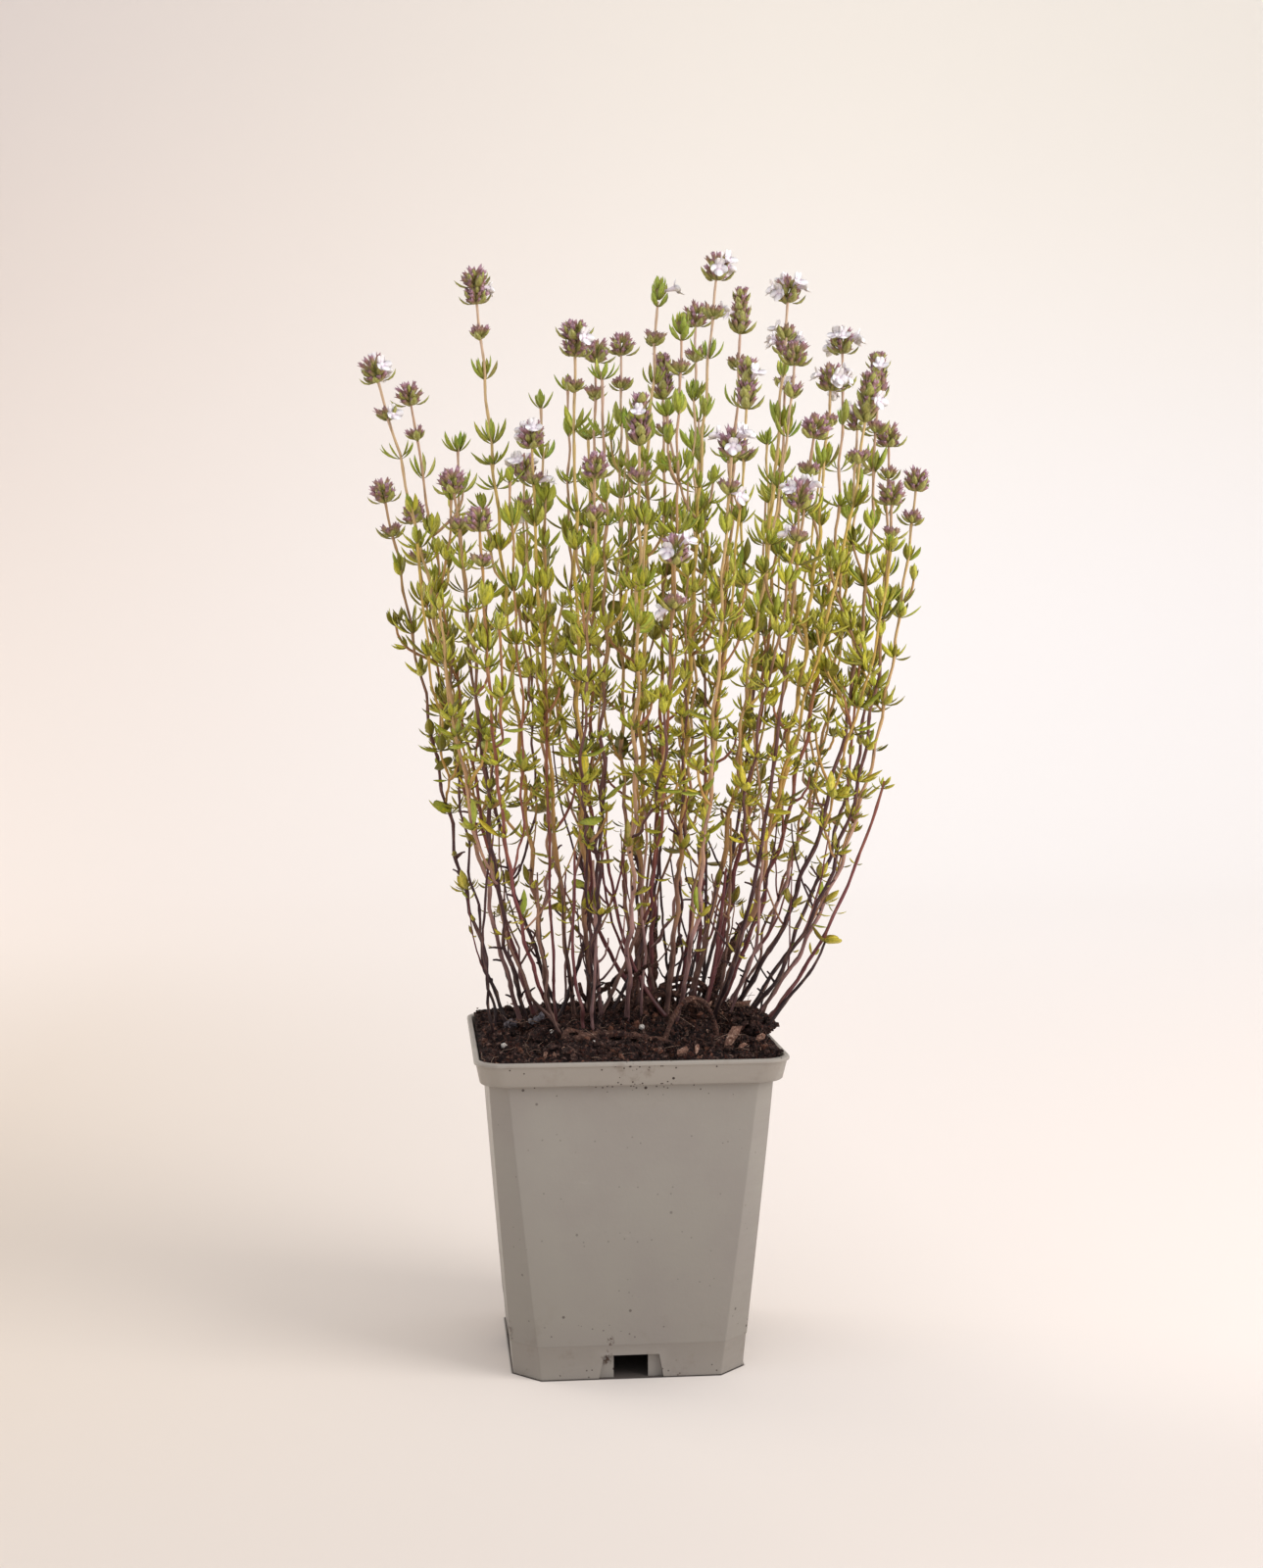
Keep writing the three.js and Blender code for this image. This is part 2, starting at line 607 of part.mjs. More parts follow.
// Which faces of a whorl carry a large leaf, a small leaf, or none. Pairs turn a quarter each time.
function whorlPlan(i, count, kind) {
  const turn = i % 2;
  const pair = (large, small) => [0, 1, 2, 3].map((k) => (k % 2 === turn ? large : small));
  if (i < count - 1) return pair(LEAF, TUFT_LEAF);
  return kind === "leafy" ? pair(TOP_LEAF, TOP_LEAF) : pair(CALYX, CALYX);
}

// Skins a branch. Some faces of its whorls are drawn out into leaves, so stem and leaves are one.
function leafyTube(owner, branch, draw) {
  const rings = squareRings(branch);
  const points = rings.flat();
  const triangles = [];
  const add = (...corners) => corners.map((p) => points.push(p) - 1);
  rings.slice(1).forEach((ring, i) => {
    const number = branch.bands.indexOf(i);
    const plan = number < 0 ? [] : whorlPlan(number, branch.bands.length, branch.kind);
    const along = branch.points[i + 1].clone().sub(branch.points[i]).normalize();
    for (let k = 0; k < 4; k++) {
      const a = i * 4 + k;
      const b = i * 4 + ((k + 1) % 4);
      const c = b + 4;
      const d = a + 4;
      const face = [a, b, c, d].map((n) => points[n]);
      const made = plan[k] && leaf(owner, branch, face, along, plan[k], draw);
      if (!made) {
        triangles.push([a, b, c], [a, c, d]);
        continue;
      }
      const [tip, left, right] = add(made.tip, ...made.sides);
      if (left) {
        triangles.push([a, b, tip], [tip, b, right], [b, c, right], [c, d, left]);
        triangles.push([c, left, right], [d, a, left], [a, tip, left], [left, tip, right]);
      } else {
        triangles.push([a, b, tip], [b, c, tip], [c, d, tip], [d, a, tip]);
      }
    }
  });
  const top = (rings.length - 1) * 4;
  triangles.push([0, 2, 1], [0, 3, 2], [top, top + 1, top + 2], [top, top + 2, top + 3]);
  return solidOf(points, triangles);
}

// Flower heads

// A globe of pointed calyces standing out of a smaller core. Its seat is left flat for the stem.
function globe(middle, along, wide, tall, hasSeat) {
  const plain = new THREE.IcosahedronGeometry(1, 0).deleteAttribute("normal").deleteAttribute("uv");
  const base = mergeVertices(plain);
  const corners = Array.from({ length: base.attributes.position.count }, (_, i) =>
    new THREE.Vector3().fromBufferAttribute(base.attributes.position, i),
  );
  const faces = Array.from({ length: base.index.count / 3 }, (_, i) =>
    [0, 1, 2].map((k) => base.index.getX(3 * i + k)),
  );
  const centre = (face) =>
    face.reduce((sum, k) => sum.add(corners[k]), new THREE.Vector3()).multiplyScalar(1 / 3);
  const down = new THREE.Quaternion().setFromUnitVectors(
    centre(faces[0]).normalize(),
    UP.clone().negate(),
  );
  const stand = new THREE.Quaternion().setFromUnitVectors(UP, along);
  const shape = (p, size, lift) => {
    const turned = p.clone().applyQuaternion(down);
    turned.set(turned.x * wide * size, turned.y * wide * size, turned.z * tall * size + lift);
    return turned.applyQuaternion(stand).add(middle);
  };
  const points = corners.map((p) => shape(p, HEAD.core, 0));
  const triangles = [];
  faces.forEach((face, i) => {
    if (i === 0 && hasSeat) {
      triangles.push(face);
      return;
    }
    const peak = points.push(shape(centre(face).normalize(), 0.94, tall * 0.06)) - 1;
    triangles.push([face[0], face[1], peak], [face[1], face[2], peak], [face[2], face[0], peak]);
  });
  return solidOf(points, triangles);
}

// How far below a head's middle its flat seat is: that of an icosahedron on one face.
function seatDepth(kind) {
  return headSize(kind).tall * HEAD.core * 0.7947;
}

// A petal: a broad pointed blade with a keel, its root inside the head.
function petal(root, tip, side) {
  const forward = tip.clone().sub(root);
  const under = forward.clone().cross(side).normalize();
  const middle = root.clone().addScaledVector(forward, 0.62);
  const points = [
    root,
    tip,
    middle.clone().addScaledVector(side, PETAL.width / 2).addScaledVector(under, -PETAL.thick),
    middle.clone().addScaledVector(side, -PETAL.width / 2).addScaledVector(under, -PETAL.thick),
  ];
  return solidOf(points, [[0, 1, 2], [0, 3, 1], [0, 2, 3], [1, 3, 2]]);
}

// Open flowers round a head, each of an upper and a lower petal.
function flowers(owner, middle, along, wide, draw) {
  const petals = [];
  const start = between(draw, 0, 2 * Math.PI);
  for (let i = 0; i < FLOWERS_ON_HEAD; i++) {
    for (let j = 0; j < LEAF_TRIES; j++) {
      const turn = start + (i * 2 * Math.PI) / FLOWERS_ON_HEAD + between(draw, -0.5, 0.5);
      const out = new THREE.Vector3(Math.cos(turn), Math.sin(turn), between(draw, 0, 0.6)).normalize();
      const side = along.clone().cross(out).normalize();
      const root = middle.clone().addScaledVector(out, wide * 0.35);
      const tips = [0.75, -0.35].map((lift) =>
        root.clone().addScaledVector(out, PETAL.length).addScaledVector(along, lift * PETAL.length),
      );
      const rods = tips.map((tip) => rod(root.clone().lerp(tip, 0.4), tip, PETAL.width / 2));
      if (freeGap(rods, (other) => other.owner === owner) < GAP) continue;
      place(rods, owner);
      petals.push(...tips.map((tip) => petal(root, tip, side)));
      break;
    }
  }
  return petals;
}

// Stops a stem just short of the seat of the separate head that it carries.
function cutForHead(branch) {
  const { points, kind } = branch;
  const middle = points.at(-1);
  const along = middle.clone().sub(points.at(-2)).normalize();
  const end = middle.clone().addScaledVector(along, -seatDepth(kind) - GAP);
  return { middle, along, cut: { ...branch, points: [...points.slice(0, -1), end] } };
}

// One plant: a sprig of leafy branches fused together, and the head on top of its stem.
function plantMeshes({ draw, branches }, owner) {
  const number = String(owner + 1).padStart(2, "0");
  const parts = [];
  const meshes = [];
  branches.forEach((branch, i) => {
    if (branch.kind === "leafy") {
      parts.push(leafyTube(owner, branch, draw));
      return;
    }
    const { wide, tall } = headSize(branch.kind);
    const { middle, along, cut } = cutForHead(branch);
    const head = [globe(middle, along, wide, tall, i === 0)];
    if (branch.kind === "bloom") head.push(...flowers(owner, middle, along, wide, draw));
    if (i === 0) {
      meshes.push(meshOf(`head_${number}`, join(head), COLOURS.head, 0.8));
      parts.push(leafyTube(owner, cut, draw));
    } else {
      parts.push(...head, leafyTube(owner, branch, draw));
    }
  });
  meshes.push(meshOf(`sprig_${number}`, join(parts), COLOURS.sprig, 0.75));
  return meshes;
}

// A woody root that arches out of the soil and back into it.
function runnerBranch() {
  const [start, low, high, end] = RUNNER.map(([x, y, z]) => new THREE.Vector3(x, y, z));
  const inner = [0.25, 0.5, 0.75].map((t) => new THREE.CubicBezierCurve3(start, low, high, end).getPoint(t));
  const points = [start, ...inner, end];
  return { points, radii: points.map(() => RUNNER_RADIUS), bands: [] };
}

// The plain hole in the soil that a straight stretch of stem stands in.
function hole(from, to, fromRadius, toRadius) {
  const aim = from.clone().sub(to).normalize();
  const points = [from.clone().addScaledVector(aim, GAP), to];
  const radii = [fromRadius + GAP * 1.5, toRadius + GAP * 1.5];
  return leafyTube(-1, { points, radii, bands: [], kind: "leafy" });
}

const plants = growPlants();
const runner = runnerBranch();
const holes = plants.map(({ branches: [{ points, radii }] }) => hole(points[0], points[1], radii[0], radii[1]));
const runnerHoles = [
  hole(runner.points[0], runner.points[1], RUNNER_RADIUS, RUNNER_RADIUS),
  hole(runner.points[4], runner.points[3], RUNNER_RADIUS, RUNNER_RADIUS),
];

const thyme = new THREE.Group();
thyme.add(meshOf("pot", potSolid(), COLOURS.pot, 0.55));
thyme.add(meshOf("soil", soilSolid([...holes, ...runnerHoles]), COLOURS.soil, 1));
thyme.add(meshOf("runner", leafyTube(-1, runner), COLOURS.runner, 0.9));
plants.forEach((plant, i) => thyme.add(...plantMeshes(plant, i)));
thyme.position.x = POT_OFFSET;

export default thyme;
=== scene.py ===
"""Common thyme in flower in a square nursery pot: the looks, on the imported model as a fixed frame.

Lengths are worked out in millimetres, as in the part's own drawing, and become metres where a mesh is made.
The plants are grown by the same rule and from the same draws as the part's own, so that each fine stem,
leaf and head stands where its plain solid stands.
"""
import math
from collections import namedtuple

import bpy
import numpy as np
from mathutils import Matrix, Vector


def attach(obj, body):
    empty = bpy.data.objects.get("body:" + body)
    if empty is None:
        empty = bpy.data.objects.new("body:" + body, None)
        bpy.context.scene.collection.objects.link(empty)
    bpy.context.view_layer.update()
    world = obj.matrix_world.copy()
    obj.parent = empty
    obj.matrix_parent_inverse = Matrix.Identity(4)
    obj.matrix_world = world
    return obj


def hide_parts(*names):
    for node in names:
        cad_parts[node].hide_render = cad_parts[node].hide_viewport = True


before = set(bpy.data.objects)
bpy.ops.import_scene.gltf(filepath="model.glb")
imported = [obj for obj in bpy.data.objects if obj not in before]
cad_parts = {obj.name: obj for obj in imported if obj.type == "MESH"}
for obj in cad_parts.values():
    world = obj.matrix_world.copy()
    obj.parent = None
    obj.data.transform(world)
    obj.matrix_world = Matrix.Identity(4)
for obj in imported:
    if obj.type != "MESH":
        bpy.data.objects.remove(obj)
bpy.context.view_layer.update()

# The pot and the soil, as in the part
MM = 0.001
POT_OFFSET = -11.2
WALL = 1.1
GAP = 0.35
POT_HEIGHT = 94.0
RIM_HALF = 45.0
BODY_TOP_HALF, BODY_BOTTOM_HALF = 40.6, 33.6
BAND_HEIGHT, BAND_BOTTOM_HALF = 7.0, 43.3
LIP_HEIGHT, LIP_WIDTH = 1.3, 1.6
SKIRT_HEIGHT, SKIRT_STEP = 9.8, 0.2
RIM_CORNER = 8.0
TOP_CHAMFER, BOTTOM_CHAMFER = 5.0, 7.6
NOTCH_WIDTH, NOTCH_HEIGHT, NOTCH_DEPTH = 10.0, 7.0, 1.4
FLARE_TOP, FLARE_BOTTOM = 16.0, 19.2
DRAIN_RADIUS, DRAIN_REACH, DRAIN_SIDES = 3.6, 17.0, 20
SOIL_EDGE = 93.0
MOUND = (2.0, 6.0, 6.0, 21.0)
ROOT_BALL = (32.0, 9.0, 4.5, 8.0)
BAND_AT = POT_HEIGHT - BAND_HEIGHT
SOIL_HALF = RIM_HALF - LIP_WIDTH

# The plant, as in the part
SEED = 20
BURIED = 11.0
FREE_OF_SOIL = 5.0
STEM_BASE_RADIUS, STEM_TIP_RADIUS = 0.95, 0.62
STEM_WHORLS, SHOOT_WHORLS, TWIG_WHORLS = 5, 3, 2
TWIG_LENGTH = (22.0, 36.0)
FIRST_LEAVES = (132.0, 160.0)
OUTER = 48.0
SECOND_WHORL = 8.0
WHORL_BAND = 1.3
CLEARANCE = 0.9
TRIES, LEAF_TRIES = 16, 5
LEAF = {"length": 8.0, "width": 3.5, "thick": 0.8, "open": (0.6, 1.15)}
TOP_LEAF = {"length": 6.0, "width": 2.9, "thick": 0.8, "open": (0.5, 0.85)}
TUFT_LEAF = {"length": 4.6, "width": 0.0, "thick": 0.0, "open": (0.55, 0.9)}
CALYX = {"length": 3.6, "width": 0.0, "thick": 0.0, "open": (0.7, 1.1)}
HEAD_WIDTH, HEAD_HEIGHT = 8.8, 8.4
HEAD_SHAPES = {"head": (0.5, 0.5), "bloom": (0.5, 0.56), "tall": (0.48, 0.6), "big": (0.56, 0.9)}
PETAL_LENGTH, PETAL_WIDTH = 3.6, 2.8
FLOWERS_ON_HEAD = 2
HEAD_CORE = 0.66
# How near the faces of a ball of twenty faces come to its middle, as a share of how far its corners are.
BALL_INSIDE = 0.7947
RUNNER = [(10, -22, 90), (13, -21, 112), (26, -16, 114), (28, -14, 91)]

# Each plant: root, thickness, lean, then its tips as (x, y, z, what it carries, share below the fork).
PLANTS = [
    ((-33, 11), 0.95, 0.45, [(-70, 14, 257, "head", 0), (-60, -6, 243, "leafy", 0.45)]),
    ((-29, 18), 1.1, 0.38, [(-72, -2, 291, "bloom", 0), (-61, 30, 252, "head", 0.3)]),
    ((-24, 24), 1, 0.45, [(-62, 22, 287, "head", 0), (-55, 50, 229, "leafy", 0.2)]),
    ((-27, 5), 1, 0.7, [(-50, -24, 257, "head", 0), (-54, -37, 222, "leafy", 0.3)]),
    ((-20, 14), 1.2, 0.4, [(-43, -12, 314, "tall", 0), (-28, 10, 264, "bloom", 0.15)]),
    ((-16, 29), 1, 0.7, [(-47, 41, 274, "leafy", 0), (-26, 52, 258, "leafy", 0.25)]),
    ((-19, 0), 0.9, 0.7, [(-43, -42, 245, "head", 0), (-34, -31, 258, "leafy", 0.35)]),
    ((-13, 9), 1.1, 0.5, [(-27, -16, 271, "bloom", 0)]),
    ((-8, 1), 1, 0.6, [(-9, -40, 286, "leafy", 0), (-12, -53, 259, "head", 0.3)]),
    ((-8, 14), 1.25, 0.5, [(-15, -22, 298, "tall", 0)]),
    ((-3, 28), 1, 0.7, [(-12, 46, 294, "leafy", 0), (-18, 58, 242, "leafy", 0.3)]),
    ((-8, 20), 1.05, 0.5, [(-6, 10, 299, "head", 0), (-22, 24, 286, "leafy", 0.1)]),
    ((5, 24), 1.1, 0.5, [(4, 35, 305, "head", 0), (-7, 29, 277, "leafy", 0.4)]),
    ((6, 10), 1.3, 0.5, [(11, -5, 314, "tall", 0), (14, -35, 299, "head", 0.12)]),
    ((2, -1), 1.1, 0.6, [(1, -47, 272, "big", 0), (9, -61, 236, "bloom", 0.35)]),
    ((11, 18), 1.15, 0.5, [(15, 19, 293, "big", 0), (24, 9, 310, "head", 0.1)]),
    ((11, 30), 0.95, 0.7, [(8, 60, 284, "leafy", 0), (31, 51, 280, "leafy", 0.15)]),
    ((15, 7), 1.25, 0.5, [(27, -15, 320, "bloom", 0)]),
    ((17, -1), 1, 0.65, [(25, -57, 265, "bloom", 0), (33, -33, 284, "big", 0.15)]),
    ((20, 23), 1.1, 0.55, [(40, 24, 314, "big", 0)]),
    ((22, 12), 1.4, 0.6, [(50, -3, 316, "bloom", 0), (48, -25, 294, "head", 0.35)]),
    ((28, 17), 1.1, 0.6, [(56, 34, 306, "bloom", 0)]),
    ((28, 0), 1, 0.7, [(50, -46, 271, "head", 0), (43, -60, 251, "bloom", 0.3)]),
    ((26, 29), 1, 0.7, [(54, 59, 262, "leafy", 0), (72, 58, 272, "leafy", 0.3)]),
    ((33, 21), 1.15, 0.65, [(70, 15, 304, "bloom", 0)]),
    ((30, 6), 1.35, 0.7, [(61, -13, 289, "bloom", 0), (68, -31, 281, "big", 0.3)]),
    ((36, 14), 1.2, 0.72, [(77, -3, 291, "big", 0)]),
    ((35, 26), 1, 0.7, [(79, 34, 283, "bloom", 0), (84, 47, 270, "head", 0.4)]),
    ((40, 18), 1, 0.74, [(86, 21, 276, "head", 0)]),
    ((41, 10), 1, 0.72, [(91, 4, 261, "head", 0), (76, 12, 217, "leafy", 0.4)]),
    ((37, 3), 0.95, 0.74, [(78, -19, 255, "head", 0), (74, -36, 240, "leafy", 0.35)]),
]

# The map of a sprig: stems run up its left fifth, and leaves fill cells in columns and rows to the right.
MAP_NAME = "OFBake"
MAP_TOP = 330.0
FAMILY_WIDTH = 0.05
DARK, RED, TAN, PINK = range(4)
COLUMNS, ROWS = 10, 8
GREEN_COLUMN, _, YELLOW_COLUMN, SHADE_COLUMN = range(2, 6)
PLANT_COLUMNS = [(2, 4), (3, 5), (2, 5)]
UNDER_COLUMNS = (6, 8)
BRACT_COLUMN, OLD_COLUMN = 8, 9
# The map of a head: calyces in cells side by side, then the tubes and the petals of the flowers.
TINT_WIDTH, CALYX_TINTS = 0.08, 8
TUBE_AT, PETAL_COLUMNS, PETAL_CELLS = 0.66, (7, 10), (10, 1)

# Which plants have reddish, tan or pink bark, and which have green or olive heads.
BARK_OF = {**dict.fromkeys((5, 8, 10, 14, 18, 21, 26), TAN), **dict.fromkeys((3, 7, 12, 16, 20, 22, 25), RED)}
BARK_OF |= dict.fromkeys((2, 13, 15, 19, 28, 30), PINK)
GREEN_TINTS, OLIVE_TINTS, COMMON_TINTS = (0, 2), (1, 6), (2, 7)
TINTS_OF = {14: GREEN_TINTS, **dict.fromkeys((12, 18, 20, 21, 25, 26, 27), OLIVE_TINTS)}

# Blades: how far along the corners are, and how wide a narrow and a broad one are there.
BLADE = np.array([
    (0.0, 0.1, 0.26, 0.46, 0.66, 0.83, 0.95, 1.0),
    (0.16, 0.3, 0.74, 1.0, 0.9, 0.56, 0.2, 0.0),
    (0.12, 0.42, 0.92, 1.0, 0.95, 0.72, 0.36, 0.0),
])
SMALL_BLADE = np.array([
    (0.0, 0.22, 0.5, 0.78, 1.0),
    (0.2, 0.68, 1.0, 0.66, 0.0),
    (0.2, 0.85, 1.0, 0.78, 0.0),
])

# A tulip or a fan of leaves near a stem's top, and a star of them lower down: how far the pair and the small
# leaves open, how long the small ones and how wide the blades are as shares of the length, and how far the
# small ones stand apart.
Cup = namedtuple("Cup", "pair small lengths wide apart")
TULIP = Cup((0.35, 0.85), (0.05, 0.5), (0.62, 0.95), (0.24, 0.33), 0.8)
FAN = Cup((0.6, 1.1), (0.1, 0.95), (0.62, 1.0), (0.17, 0.24), 0.5)
STAR = Cup((0.85, 1.4), (0.35, 1.15), (0.5, 0.85), (0.22, 0.31), 0.7)
STEM_STEP = 1.7
# The lowest nodes with leaves, the height that the map's rows start from and the one they span, and how far
# under the soil's surface thin stems and loose roots start.
LOWEST = {"main": 118, "shoot": 100, "side": 122, "stray": 112}
ROWS_FROM, ROWS_SPAN = 112, 200
SHALLOW = 1.5
# Old leaves: a height, and how likely they are below and above it. Shaded leaves: where the shade starts to
# the back, over what depth it grows full, and the same from a height downwards.
OLD_BELOW, OLD_CHANCES = 165, (0.14, 0.02)
SHADE_BACK, SHADE_DEPTH, SHADE_TOP, SHADE_HEIGHT = -4, 28, 256, 42
SPUR_CHANCE = 0.28
CROWN_AXIS = np.array([6.0, 6.0, 0.0])
NODE_ASIDE, HEAD_ASIDE = (0.3, 1.0, 0.2), (0.2, 1.0, 0.1)

# Stems that leave the soil aslant in front and at the right: the bark, the radius and the curve.
CROSSING_STEMS = 13
STRAY_STEMS = [
    (RED, 0.62, [(-11.5, -8, 96.5), (-13.8, -8, 108), (-15.5, -8, 118), (-14, -6, 150)]),
    (TAN, 0.55, [(-18.5, -10, 96), (-23.5, -10, 105), (-23.5, -10, 113), (-25.5, -8, 141)]),
    (TAN, 0.62, [(-17, -6, 96.5), (-28, -6, 104), (-33, -6, 116), (-39, -4, 148)]),
    (PINK, 0.55, [(-9, -9, 96.5), (-9.8, -9, 108), (-6.5, -9, 117), (-8.6, -8, 144)]),
    (RED, 0.7, [(42, -4, 96), (53, -5, 108), (67, -5, 128), (80, -3, 170)]),
    (DARK, 0.6, [(43, -6, 96), (51, -8, 105), (57, -8, 113), (61, -8, 122)]),
]

# Heads: the rings of a calyx, the levels of calyces and of bracts, and the lobes of a flower as how far
# aside, up or down, length, width and how steep.
CALYX_SIDES, LOWER_CALYX = 6, 3.8
CALYX_RINGS = [(0.0, 0.3), (0.2, 0.78), (0.48, 1.0), (0.74, 0.92), (0.84, 0.96)]
GLOBE_LEVELS = [(-0.55, 6), (-0.08, 7), (0.38, 5), (0.76, 3)]
GLOBE_BRACTS = [(-0.9, 4, 1.0, 1.3), (-0.5, 5, 0.65, 1.0), (0.0, 3, 0.45, 0.75)]
BUD_LEAVES = [(-0.8, 4, 0.7, 1.3), (-0.4, 4, 0.42, 1.3), (0.0, 4, 0.24, 1.1), (0.3, 3, 0.1, 0.8)]
SPIKE_LEVELS = 6
MORE_FLOWERS = {"bloom": 3, "big": 1, "tall": 1}
LOBES = [
    (0.28, 1, 2.5, 1.9, 1.0),
    (-0.28, 1, 2.5, 1.9, 1.0),
    (0.0, -1, 3.1, 2.6, 0.7),
    (1.0, -1, 2.7, 2.2, 0.35),
    (-1.0, -1, 2.7, 2.2, 0.35),
]

# On the soil: how many of each small thing, a clump that bulges over the rim, pale balls, grey lumps,
# upright flakes, loose chips and old roots.
SOIL_GRID = 190
CRUMBS, CLUMP_CRUMBS, CLODS, FIBRES, LOOSE_CHIPS, STUBS = 3400, 420, 170, 620, 24, 26
# Grains in one grey lump.
GREY_GRAINS = 14
FIBRE_LIMIT = SOIL_HALF - 0.8
CLUMP, CLUMP_SIZE = (39.4, -2.0, 95.4), (7.4, 15.0, 5.2)
OVER_RIM = (42.4, 96.2)
ROOT_BALL_REACH = 13
# Seeds: of the litter, the roots, the crossing stems, the stray stems and what dresses a plant.
LITTER_SEED, ROOT_SEED, CROSSING_SEED, STRAY_SEED, DRESS_SEED = 401, 733, 977, 611, 9000
PALE_SPOTS = [(4.9, -16, 1.05), (-35.6, -19.5, 1.1), (-21, -6, 0.8), (-10, -26, 0.4), (20, -12, 0.4)]
PALE_SPOTS += [(-26, 16, 0.5)]
GREY_SPOTS = [(-32.5, 8, 1.9), (-25, 0.5, 2.1)]
FLAKES = [
    ((27.0, -33, 95.8), (31.5, -33, 101.0), 3.4),
    ((30.5, -34, 95.4), (33.2, -34, 96.3), 1.5),
    ((37.2, -27, 96.4), (40.0, -27, 97.8), 2.2),
    ((12.0, -40, 95.0), (15.8, -40, 96.4), 1.8),
    ((17.5, -41, 94.8), (18.0, -41, 98.2), 1.6),
    ((36.0, 12, 101.0), (43.0, 12, 100.4), 2.0),
    ((-25.5, -41, 94.6), (-24.8, -41, 96.6), 1.0),
]
CHIP_SPOTS = [(27, 2, 2.4), (-19, -31, 1.4), (36, 16, 2.6), (32, 22, 2.4), (-4, 8, 1.2)]
# Each old root is a curve through four points with a radius at either end.
OLD_ROOTS = [
    ([(-16, -22, 96), (-10, -18, 98.5), (4, -22, 97.5), (14, -24, 95)], 1.3, 0.9),
    ([(-16, -22, 96), (-20, -19, 97.5), (-17, -14, 99), (-12, -14, 97)], 1.1, 0.6),
    ([(2, 4, 97), (9, 8, 103), (15, 10, 106), (19, 8, 104)], 0.7, 1.1),
    ([(19, 8, 104), (24, 6, 103), (27, 2, 99), (28, -3, 94)], 1.1, 0.9),
    ([(14, 18, 104), (20, 20, 110), (27, 20, 109), (31, 18, 101)], 1.0, 0.8),
    ([(12, 22, 100), (20, 24, 107), (26, 25, 106), (33, 22, 99)], 0.8, 0.7),
    ([(-20, 8, 97), (-12, 7, 99), (-4, 9, 98), (2, 10, 100)], 0.55, 0.5),
    ([(30, 22, 95), (31, 22, 108), (38, 23, 118), (44, 24, 128)], 2.0, 1.2),
    ([(12, 24, 94), (13, 24, 108), (12, 22, 118), (13, 21, 130)], 2.0, 1.0),
    ([(8, 27, 94), (7, 27, 106), (10, 26, 114), (9, 25, 124)], 1.6, 0.7),
    ([(16, 27, 94), (18, 27, 104), (18, 24, 112), (21, 22, 121)], 1.7, 0.8),
    ([(-14, 24, 94), (-8, 22, 100), (-2, 20, 106), (6, 18, 112)], 1.0, 0.7),
    ([(34, 8, 96), (38, 6, 99), (41, 2, 98), (40, -4, 95)], 0.6, 0.4),
]

# The pot's finish: how round its edges are, the width of the bevel and the angles in degrees for it and for
# sharp edges, where dirt crowds on the rim, and smears as x, z and reach.
ARRIS = 0.9
BEVEL, BEVEL_ANGLE, SHARP_ANGLE = 0.22, 50, 38
RIM_DIRT_AT = 2.0
SMEARS = [(-7.1, 6.0, 2.2), (-6.3, 11.0, 1.6), (-36.0, 13.3, 2.6)]

# Tones, as they look on a screen: of the leaves by height, how far some columns lean to a tone of their own,
# of a calyx from its base up, and of bark from the soil up for dark, reddish, tan and pale pink stems.
LEAF_BY_HEIGHT = [
    (0.0, (230, 200, 62)),
    (0.4, (232, 214, 44)),
    (0.6, (222, 214, 42)),
    (0.8, (190, 202, 58)),
    (1.0, (164, 188, 72)),
]
HUES = [
    (GREEN_COLUMN, 0.42, (102, 154, 36)),
    (YELLOW_COLUMN, 0.25, (234, 216, 66)),
    (SHADE_COLUMN, 0.68, (80, 70, 14)),
]
CALYX_TONES = [
    (0.0, (166, 170, 92)),
    (0.38, (176, 168, 102)),
    (0.64, (170, 138, 110)),
    (0.86, (164, 120, 126)),
    (1.0, (196, 154, 168)),
]
PETAL_TONES = [(0.0, (218, 196, 214)), (0.4, (248, 240, 242)), (1.0, (254, 250, 246))]
BARK_LEVELS = [
    (0.3, 0.42, 0.56, 0.72, 0.92),
    (0.3, 0.42, 0.56, 0.72, 0.92),
    (0.3, 0.4, 0.52, 0.72, 0.92),
    (0.3, 0.4, 0.55, 0.72, 0.92),
]
BARK_TONES = [
    [(38, 26, 27), (76, 48, 50), (112, 74, 68), (178, 142, 92), (204, 170, 152)],
    [(84, 46, 46), (122, 66, 68), (154, 96, 70), (188, 148, 88), (206, 172, 154)],
    [(84, 60, 54), (150, 110, 92), (192, 150, 80), (210, 180, 92), (210, 180, 152)],
    [(112, 82, 80), (172, 132, 126), (194, 154, 108), (206, 174, 118), (212, 182, 162)],
]
# What lies on the soil: its dark, middle and pale tone.
EARTH_TONES = {
    "peat": ((24, 16, 16), (46, 32, 30), (118, 92, 84)),
    "peat_crumb": ((24, 16, 16), (62, 44, 40), (156, 124, 110)),
    "red_crumb": ((70, 44, 36), (120, 80, 64), (188, 150, 128)),
    "dark_fibre": ((46, 30, 27), (92, 62, 52), (138, 104, 88)),
    "pale_fibre": ((136, 108, 92), (176, 144, 124), (214, 190, 170)),
    "pale_grain": ((206, 196, 184), (232, 224, 214), (246, 240, 232)),
    "grey_lump": ((96, 88, 92), (150, 142, 148), (222, 216, 218)),
    "bark_chip": ((128, 94, 80), (182, 140, 120), (222, 186, 164)),
    "old_wood": ((52, 36, 34), (100, 72, 62), (158, 122, 104)),
}

